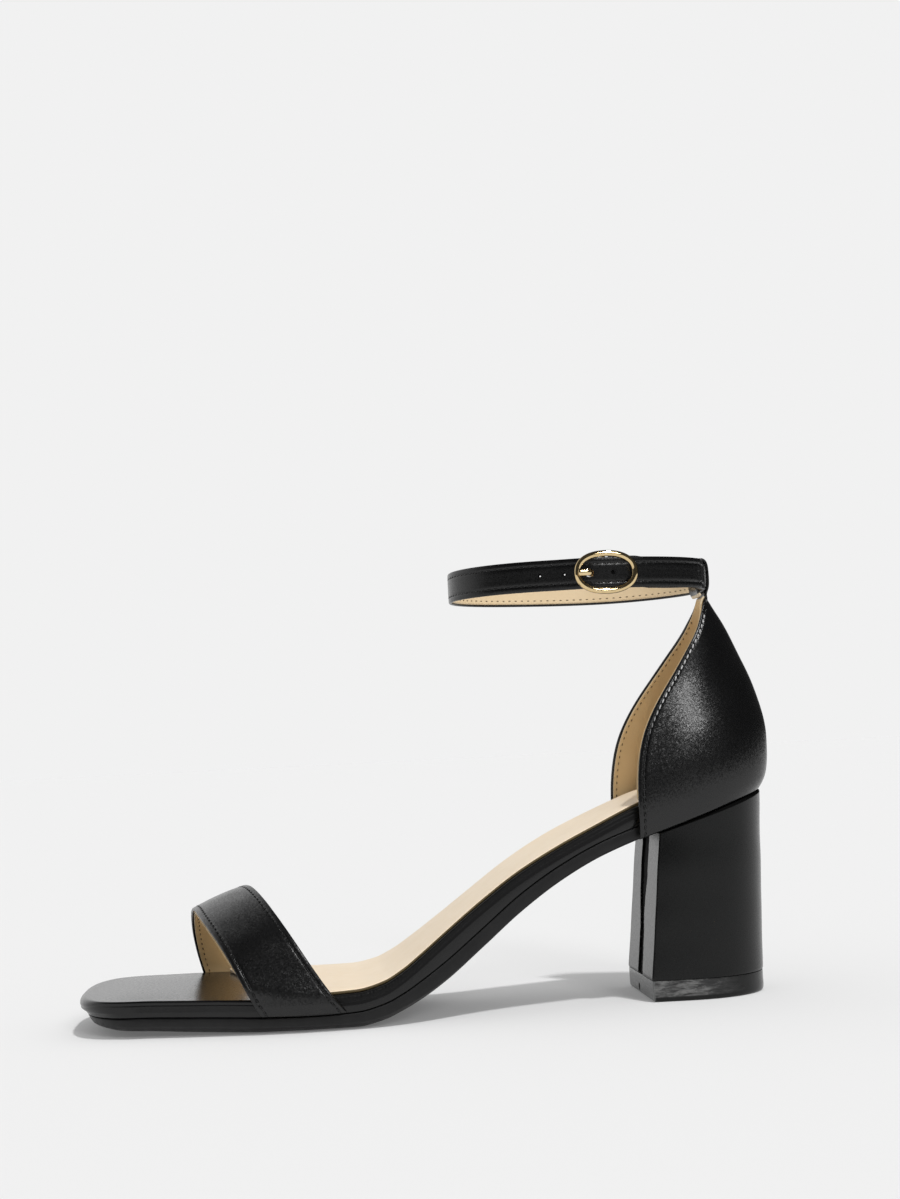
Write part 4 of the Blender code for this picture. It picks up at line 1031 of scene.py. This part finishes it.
def ankle_path():
    """Plan line of the strap from the buckle's bar to its free end: u and v, evenly spaced."""
    p, nor = ring_line()
    n = len(p)
    start = outer_side_index(p, BUCKLE_U - BAR_D / 2 - GAP - 0.2)
    tip = outer_side_index(p, TIP_U)
    ramp_end = outer_side_index(p, BUCKLE_U + 2.5)
    ramp_start = outer_side_index(p, BUCKLE_U + 17.0)
    path = list(range(start, -1, -1)) + list(range(n - 1, tip - 1, -1))
    rows = []
    for order, k in enumerate(path):
        lift = 0.0
        if order > start:
            t = np.clip((ramp_start - k) / (ramp_start - ramp_end), 0.0, 1.0)
            lift = LAYER * t * t * (3 - 2 * t)
        rows.append(p[k] + nor[k] * lift)
    rows = np.asarray(rows)
    return rows


def build_ankle_strap():
    plan = ankle_path()
    total = lengths(plan)[-1]
    ends = EDGE_D[:-1]
    s = np.concatenate([ends, np.linspace(3.2, total - 3.2, 560), total - ends[::-1]])
    q = at_length(soften(at_length(plan, np.linspace(0, total, 1400)), 5.0), s)
    tan = unit(np.gradient(q, axis=0))
    nor = np.stack([tan[:, 1], -tan[:, 0]], 1)
    if np.sum(nor * (q - np.array([RING_MID_U, 0.0]))) < 0:
        nor = -nor
    mid = 10
    cols = 2 * len(EDGE_D) + mid
    rows = len(s)
    from_tip = total - s
    corner = round_off(np.minimum(from_tip, s), 1.3)
    dist = np.zeros((rows, cols))
    h = np.zeros((rows, cols))
    for i in range(rows):
        width = ANKLE_W - 2 * corner[i]
        d = across(ANKLE_W, mid)
        h[i] = (d / ANKLE_W - 0.5) * width
        dist[i] = d
    # the buckle end lies a little higher under the free end
    shift = 0.55 * (1 - step(s, 9.0, 14.0)) + 0.30 * np.exp(-((s - 30.0) / 6.0) ** 2) - 0.15 * step(s, total - 46.0, total - 12.0)
    grid = np.zeros((rows, cols, 3))
    grid[..., 0], grid[..., 1] = q[:, None, 0], q[:, None, 1]
    grid[..., 2] = RING_Z + h + shift[:, None] + 0.12 * ripple(s, 6, 3, 50.0, 90.0)[:, None]
    n = np.zeros_like(grid)
    n[..., 0], n[..., 1] = nor[:, None, 0], nor[:, None, 1]
    d_low, d_up = dist, ANKLE_W - dist
    near = np.minimum(d_low, d_up)
    end = np.minimum(s, from_tip)[:, None]
    rim = np.minimum(near, end)
    free = step(s, 3.0, 4.0) * 1.0
    relief = np.where(d_low < d_up, sewn(d_low, s[:, None], total, STRAP_PITCH, 0.04, 0.26),
                      sewn(d_up, s[:, None], total, STRAP_PITCH, 0.04, 0.26))
    body = (near > STITCH_D + 0.15)
    tip_rel = sewn(from_tip[:, None], h + ANKLE_W / 2, ANKLE_W, 2.0, 0.04, 0.26)
    relief = np.where(body & (from_tip[:, None] < 4.0), np.minimum(relief, tip_rel), relief)
    crown = 0.10 * (1 - (np.abs(h) / (ANKLE_W / 2)) ** 2)
    half = ANKLE_T / 2
    outer = grid + n * (half - 0.06 - round_off(rim, 0.45) + relief + crown)[..., None]
    inner = grid + n * (half - 0.95 + round_off(rim, 0.45))[..., None]
    same = rim < 1e-6
    inner[same] = outer[same]
    verts, faces, kind = wall(outer, inner)
    strap = piece("ankle_strap_leather", verts, faces, [STRAP], "ankle_strap")
    strap.visible_shadow = False
    keep_c = np.arange(5, cols - 5)
    keep_r = np.arange(5, rows - 5)
    g, m = grid[keep_r][:, keep_c], n[keep_r][:, keep_c]
    rim_l = rim[keep_r][:, keep_c] - EDGE_D[5]
    face = g - m * (half - round_off(rim_l, 0.3) * 0.8)[..., None]
    back = g + m * (half - 0.97)
    verts, faces, kind = wall(face, back)
    lining = piece("ankle_strap_lining", verts, faces, [LINING, LINING_EDGE], face_mat=np.where(kind == 2, 1, 0))
    lining.visible_shadow = False
    # prong holes, at an even distance along the free end
    p, _ = ring_line()
    cut = []
    for u in (BUCKLE_U + PRONG_REACH + 15.0, BUCKLE_U + PRONG_REACH + 7.5, BUCKLE_U + PRONG_REACH, BUCKLE_U + PRONG_REACH - 7.5):
        lateral = np.where((q[:, 1] > 0) & (s > total * 0.6))[0]
        k = lateral[int(np.argmin(np.abs(q[lateral, 0] - u)))]
        c = np.array([q[k, 0], q[k, 1], RING_Z + shift[k]])
        a = np.array([nor[k, 0], nor[k, 1], 0.0])
        if abs(u - BUCKLE_U - PRONG_REACH) < 0.1:
            path, wide = np.stack([c + a * 3.0, c, c - a * 1.3]), np.array([1.30, 1.30, 1.30])
        else:
            top = half - 0.06
            path = np.stack([c + a * 3.0, c + a * (top + 0.01), c + a * (top - 0.22), c + a * (top - 0.42), c - a * 1.3])
            wide = np.array([0.66, 0.66, 0.46, 0.25, 0.25])
        cut.append((tube(path, wide, 20, (0, 0, 1)), tube(path, wide + 0.75, 20, (0, 0, 1))))
    for target, which in ((strap, 0), (lining, 1)):
        verts, faces = merge([pair[which] for pair in cut])
        carve(target, verts, faces)
    parts, dots = [], []
    for c in (STITCH_AT, cols - 1 - STITCH_AT):
        line = outer[:, c] + n[:, c] * (-0.23 - relief[:, c] + 0.02)[:, None]
        count = int(round(total / STRAP_PITCH))
        parts += stitch_row(line, n[:, c], total / count, 1.75, 0.19, 0.0, 0.10, total / count, total - total / count, sway=0.08, seed=c)
        under = face[:, c - 5] - m[:, c - 5] * 0.02
        dots += stitch_row(under, -m[:, c - 5], STRAP_PITCH, 0.8, 0.17, 0.08, 0.10, 2.5, lengths(under)[-1] - 2.5, seed=c + 5)
    k = int(np.argmin(np.abs(from_tip - STITCH_D)))
    across_tip = outer[k, STITCH_AT:cols - STITCH_AT] - n[k, STITCH_AT:cols - STITCH_AT] * 0.02
    parts += stitch_row(across_tip, n[k, STITCH_AT:cols - STITCH_AT], 2.0, 1.6, 0.20, 0.0, 0.10, seed=77)
    verts, faces = merge(parts)
    piece("ankle_strap_stitching", verts, faces, [THREAD]).visible_shadow = False
    verts, faces = merge(dots)
    piece("ankle_strap_lining_stitching", verts, faces, [THREAD_TAN]).visible_shadow = False


def carve(target, verts, faces):
    """Cut the given closed shapes out of a piece."""
    mesh = bpy.data.meshes.new("cutter")
    mesh.from_pydata(world(verts).tolist(), [], [tuple(int(i) for i in f) for f in faces])
    bm = bmesh.new()
    bm.from_mesh(mesh)
    bmesh.ops.recalc_face_normals(bm, faces=bm.faces)
    bm.to_mesh(mesh)
    bm.free()
    tool = bpy.data.objects.new("cutter", mesh)
    bpy.context.scene.collection.objects.link(tool)
    mod = target.modifiers.new("cut", "BOOLEAN")
    mod.operation, mod.solver, mod.object = "DIFFERENCE", "EXACT", tool
    bpy.context.view_layer.update()
    done = bpy.data.meshes.new_from_object(target.evaluated_get(bpy.context.evaluated_depsgraph_get()))
    target.modifiers.clear()
    old = target.data
    if len(done.polygons) > 0:
        target.data = done
        done.name = old.name + "_cut"
        done.set_sharp_from_angle(angle=math.radians(50))
    bpy.data.objects.remove(tool, do_unlink=True)


def oval(rx, rz, y, count, power=2.25):
    a = 2 * math.pi * np.arange(count) / count
    sq = lambda x: np.copysign(np.abs(x) ** (2 / power), x)
    return np.stack([rx * sq(np.cos(a)), np.full(count, y), rz * sq(np.sin(a))], 1)


def build_buckle():
    rx, rz = (BUCKLE_LONG - BUCKLE_WIRE) / 2, (BUCKLE_HIGH - BUCKLE_WIRE) / 2
    ring = resample(np.concatenate([oval(rx, rz, FRAME_OUT, 720), oval(rx, rz, FRAME_OUT, 720)[:1]]), 193)[:-1]
    parts = [tube(ring, BUCKLE_WIRE / 2, 24, (0.0, 1.0, 0.0), True, flat=0.85)]
    bend = [(0.0, FRAME_OUT - 0.2, -rz), (0.0, (FRAME_OUT + BAR_DEEP) * 0.5, -rz + 0.05), (0.0, BAR_DEEP + 0.35, -rz + 0.2),
            (0.0, BAR_DEEP, -rz + 0.9)]
    bar = np.asarray(bend + [(0.0, BAR_DEEP, 0.0)] + [(a, b, -c) for a, b, c in bend[::-1]])
    bar = soften(resample(bar, 60), 1.5)
    parts.append(tube(bar, BAR_D / 2, 16, (1.0, 0.0, 0.0)))
    verts, faces = merge(parts)
    frame_ring = piece("buckle_frame_gold", in_buckle(verts), faces, [GOLD], "buckle_frame", placed=True, sharp=70)
    frame_ring.visible_shadow = False
    rest = FRAME_OUT + BUCKLE_WIRE / 2 * 0.85 + PRONG_D / 2 + 0.04
    under = BAR_DEEP - 0.25
    path = np.asarray([(BAR_D / 2 + GAP + 0.2, under, 0.0), (PRONG_REACH - 1.3, under, 0.0), (PRONG_REACH - 0.45, under + 0.3, 0.0),
                       (PRONG_REACH - 0.05, under + 1.0, 0.0), (PRONG_REACH, -ANKLE_T * 0.5, 0.0), (PRONG_REACH + 0.05, rest - 1.5, 0.0),
                       (PRONG_REACH + 0.4, rest - 0.5, 0.0), (PRONG_REACH + 1.2, rest, 0.0), (rx, rest - 0.05, 0.0)])
    path = soften(resample(path, 90), 2.2)
    t = np.linspace(0, 1, 90)
    radius = PRONG_D / 2 * np.sqrt(np.clip(1 - step(t, 0.95, 1.02) ** 2, 0.03, 1))
    verts, faces = tube(path, radius, 20, (0.0, 0.0, 1.0), flat=PRONG_WIDE / PRONG_D)
    # the prong's eye round the bar
    a = np.linspace(0, 2 * math.pi, 40, endpoint=False)
    eye = np.stack([np.cos(a) * (BAR_D / 2 + 0.42), BAR_DEEP + np.sin(a) * (BAR_D / 2 + 0.42), np.zeros(40)], 1)
    eye_v, eye_f = tube(eye, 0.38, 12, (0.0, 0.0, 1.0), True, flat=2.4)
    verts, faces = merge([(verts, faces), (eye_v, eye_f)])
    prong = piece("buckle_prong_gold", in_buckle(verts), faces, [GOLD], "buckle_prong", placed=True, sharp=70)
    prong.visible_shadow = False


# ---------------------------------------------------------------- heel
def heel_ring(which, corner=0.7):
    """Plan of the heel, fine over the front face: (u, v), from the middle of the front over the outer side."""
    front, back, half, wide_u, front_half = HEEL[which]
    face = np.linspace(0.0, front_half - corner, 56)
    pts = [np.column_stack([np.full(len(face), front), face])]
    a = np.linspace(0.0, math.pi / 2, 10)[1:]
    pts.append(np.column_stack([front - corner * (1 - np.cos(a)), front_half - corner * (1 - np.sin(a))]))
    t = np.linspace(0.0, 1.0, 60)[1:]
    side = np.column_stack([front - corner + (wide_u - front + corner) * t, front_half + (half - front_half) * np.sin(t * math.pi / 2)])
    a = np.linspace(0.0, math.pi / 2, 80)[1:]
    rear = np.column_stack([wide_u - (wide_u - back) * np.sin(a), half * np.clip(np.cos(a), 0, 1) ** 0.98])
    tail = resample(np.concatenate([pts[1][-1:], side, rear]), 90)[1:]
    h = np.concatenate(pts + [tail])
    return np.concatenate([h, h[-2:0:-1] * np.array([1.0, -1.0])])


def inset_ring(ring, d):
    tan = np.roll(ring, -1, 0) - np.roll(ring, 1, 0)
    nor = unit(np.stack([tan[:, 1], -tan[:, 0]], 1))
    c = ring.mean(axis=0)
    if np.sum(nor * (ring - c)) < 0:
        nor = -nor
    return ring - nor * np.reshape(d, (-1, 1)), nor


def wrap_ends(t):
    """The two ends of the heel's wrap on its front face, by height: inner end and outer end."""
    at = np.array([0.0, 0.10, 0.20, 0.30, 0.40, 0.46, 0.54, 0.68, 0.85, 1.0])
    far = np.array([-2.8, -3.1, -3.4, -3.2, -3.4, -4.9, -5.9, -6.3, -6.6, -6.9])
    near = np.array([4.4, 3.7, 3.1, 2.8, 2.1, 1.7, 2.4, 4.4, 3.8, 3.4])
    fine = np.linspace(0, 1, 200)
    far = soften(np.interp(fine, at, far), 6.0) + 0.12 * ripple(fine, 41, 3, 0.08, 0.2)
    near = soften(np.interp(fine, at, near), 6.0) + 0.12 * ripple(fine, 42, 3, 0.08, 0.2)
    return np.interp(t, fine, far), np.interp(t, fine, near)


def build_heel():
    low, high = heel_ring("bottom"), heel_ring("top")
    m = len(low)
    z0 = TOP_PIECE_H + 0.10
    levels = 116
    t_rows = np.concatenate([[0.0, 0.003, 0.008, 0.016], np.linspace(0.03, 0.95, levels - 10), [0.962, 0.972, 0.980, 0.985, 0.989, 0.993, 0.997, 1.0]])
    rings = []
    front = np.array([k < 57 or k > m - 57 for k in range(m)])
    top = seat(high[:, 0])
    for t in t_rows:
        plan = low + (high - low) * t
        z = z0 + (top - z0) * t
        far_end, near_end = wrap_ends(t)
        wave = 0.05 * ripple(z, 3, 4, 16.0, 34.0)
        plan, nor = inset_ring(plan, 0.15 * (1 - step(t, 0.0, 0.010)) + 0.7 * step(t, 0.984, 1.0) ** 2 + wave)
        # the two ends of the wrap stop short of each other on the front face, along wavy cuts
        v = plan[:, 1]
        gap = step(v, far_end - 0.15, far_end + 0.15) * (1 - step(v, near_end - 0.15, near_end + 0.15)) * front
        plan = plan - nor * (0.75 * gap)[:, None]
        rings.append(np.column_stack([plan, z]))
    verts = np.concatenate(rings)
    q = quads(len(rings), m, 0, False, True)
    mid = verts[q].mean(axis=1)
    far_end, near_end = wrap_ends(t_rows[q[:, 0] // m])
    core_and_gap_shade = front[q[:, 0] % m] & (mid[:, 1] > far_end - 0.1) & (mid[:, 1] < near_end + 0.1)
    faces = [tuple(f) for f in q] + [tuple(range(m)), tuple((len(rings) - 1) * m + j for j in range(m))]
    # the top rows under the counter's edge take the dark core as well: painted shade of the gap
    core_and_gap_shade = core_and_gap_shade | (t_rows[q[:, 0] // m] > 0.984)
    mats = np.concatenate([core_and_gap_shade.astype(int), [0, 1]])
    piece("heel_wrapped", verts, faces, [HEEL_WRAP, CORE_AND_GAP_SHADE], "heel", face_mat=mats, sharp=40)

    foot, _ = inset_ring(low, 0.12)
    rows = ((1.1, 0.0), (0.55, 0.10), (0.25, 0.35), (0.08, 0.8), (0.0, 1.6), (0.0, 3.0), (0.0, 4.6), (0.0, TOP_PIECE_H - 0.5),
            (0.03, TOP_PIECE_H - 0.16), (0.22, TOP_PIECE_H - 0.03), (0.6, TOP_PIECE_H))
    rings = [np.column_stack([inset_ring(foot, d)[0], np.full(m, z)]) for d, z in rows]
    verts = np.concatenate(rings)
    faces = [tuple(f) for f in quads(len(rings), m, 0, False, True)] + [tuple(range(m)), tuple((len(rings) - 1) * m + j for j in range(m))]
    lift = piece("top_piece_rubber", verts, faces, [LIFT], "top_piece", sharp=45)
    cv, cf = tube(np.array([(49.5, -3.0, 2.1), (46.6, -3.0, 2.1), (45.2, -3.0, 2.1)]), 1.25, 24, (0, 0, 1))
    carve(lift, cv, cf)


# ---------------------------------------------------------------- floor, light, camera
def build_stage():
    mesh = bpy.data.meshes.new("floor")
    r = 40.0
    mesh.from_pydata([(-r, -r, 0), (r, -r, 0), (r, r, 0), (-r, r, 0)], [], [(0, 1, 2, 3)])
    mat, tree, shader = nodes_of("pale_floor")
    shader.inputs["Base Color"].default_value = (0.68, 0.68, 0.68, 1.0)
    shader.inputs["Emission Color"].default_value = (1.0, 1.0, 1.0, 1.0)
    shader.inputs["Emission Strength"].default_value = 0.12
    shader.inputs["Roughness"].default_value = 0.95
    shader.inputs["Specular IOR Level"].default_value = 0.0
    mesh.materials.append(mat)
    floor = bpy.data.objects.new("floor", mesh)
    bpy.context.scene.collection.objects.link(floor)

    sun = bpy.data.lights.new("key", "SUN")
    sun.energy = 1.75
    sun.angle = math.radians(4.2)
    key = bpy.data.objects.new("key", sun)
    bpy.context.scene.collection.objects.link(key)
    to_light = Vector((0.41, 0.30, 1.0)).normalized()
    key.rotation_mode = "QUATERNION"
    key.rotation_quaternion = to_light.to_track_quat("Z", "Y")
    key.visible_glossy = False
    # its much weaker glint
    spark = bpy.data.lights.new("glint", "SUN")
    spark.energy = 0.75
    spark.angle = math.radians(4.2)
    glint = bpy.data.objects.new("glint", spark)
    bpy.context.scene.collection.objects.link(glint)
    glint.rotation_mode = "QUATERNION"
    glint.rotation_quaternion = key.rotation_quaternion
    glint.visible_diffuse = False

    # soft box beside the camera
    soft = bpy.data.lights.new("fill", "SUN")
    soft.energy = 0.60
    soft.angle = math.radians(16.0)
    fill = bpy.data.objects.new("fill", soft)
    bpy.context.scene.collection.objects.link(fill)
    fill.rotation_mode = "QUATERNION"
    fill.rotation_quaternion = Vector((0.83, 0.29, 0.47)).to_track_quat("Z", "Y")
    fill.visible_glossy = False
    # white card beside it, seen in the gloss only
    shine = bpy.data.lights.new("card", "SUN")
    shine.energy = 0.53
    shine.angle = math.radians(10.0)
    card = bpy.data.objects.new("card", shine)
    bpy.context.scene.collection.objects.link(card)
    card.rotation_mode = "QUATERNION"
    card.rotation_quaternion = Vector((0.83, 0.29, 0.475)).to_track_quat("Z", "Y")
    card.visible_diffuse = False

    world_data = bpy.data.worlds.new("studio")
    bpy.context.scene.world = world_data
    world_data.use_nodes = True
    tree = world_data.node_tree
    back = tree.nodes["Background"]
    out = next(n for n in tree.nodes if n.type == "OUTPUT_WORLD")
    where = node(tree, "ShaderNodeTexCoord")
    # bright wall behind the shoe and off its toe, dim room elsewhere
    facing = node(tree, "ShaderNodeVectorMath", operation="DOT_PRODUCT")
    tree.links.new(where.outputs["Generated"], facing.inputs[0])
    facing.inputs[1].default_value = (-0.75, -0.66, 0.0)
    side = node(tree, "ShaderNodeMapRange", interpolation_type="SMOOTHSTEP")
    for key_name, value in (("From Min", 0.20), ("From Max", 0.85), ("To Min", 0.045), ("To Max", 1.00)):
        side.inputs[key_name].default_value = value
    tree.links.new(facing.outputs["Value"], side.inputs["Value"])
    tree.links.new(side.outputs["Result"], back.inputs["Strength"])
    back.inputs["Color"].default_value = (1.0, 1.0, 1.0, 1.0)
    plain = node(tree, "ShaderNodeBackground")
    plain.inputs["Color"].default_value = (0.880, 0.880, 0.880, 1.0)
    room = node(tree, "ShaderNodeBackground")
    room.inputs["Color"].default_value = (0.531, 0.531, 0.531, 1.0)
    ray = node(tree, "ShaderNodeLightPath")
    even = node(tree, "ShaderNodeMixShader")
    tree.links.new(ray.outputs["Is Diffuse Ray"], even.inputs["Fac"])
    tree.links.new(back.outputs["Background"], even.inputs[1])
    tree.links.new(room.outputs["Background"], even.inputs[2])
    pick = node(tree, "ShaderNodeMixShader")
    tree.links.new(ray.outputs["Is Camera Ray"], pick.inputs["Fac"])
    tree.links.new(even.outputs["Shader"], pick.inputs[1])
    tree.links.new(plain.outputs["Background"], pick.inputs[2])
    tree.links.new(pick.outputs["Shader"], out.inputs["Surface"])
    world_data.cycles.sampling_method = "NONE"

    bpy.context.scene.view_settings.view_transform = "Standard"
    bpy.context.scene.view_settings.look = "None"

    cam_data = bpy.data.cameras.new("camera")
    cam_data.sensor_width = 36.0
    cam_data.lens = 1712.0 * 36.0 / 1199.0
    cam_data.clip_start, cam_data.clip_end = 0.01, 200.0
    cam = bpy.data.objects.new("camera", cam_data)
    bpy.context.scene.collection.objects.link(cam)
    yaw, pitch, roll = (math.radians(a) for a in (4.93, 5.19, -2.85))
    d = Vector((-math.cos(yaw) * math.cos(pitch), math.sin(yaw) * math.cos(pitch), math.sin(pitch)))
    r0 = d.cross(Vector((0, 0, 1))).normalized()
    u0 = r0.cross(d)
    r = math.cos(roll) * r0 + math.sin(roll) * u0
    u = -math.sin(roll) * r0 + math.cos(roll) * u0
    cam.matrix_world = Matrix.Translation((0.5597, -0.0373, 0.0804)) @ Matrix((r, u, -d)).transposed().to_4x4()
    bpy.context.scene.camera = cam


build_stage()
build_sole()
build_toe_strap()
build_counter()
build_ankle_strap()
build_buckle()
build_heel()

bpy.context.view_layer.update()
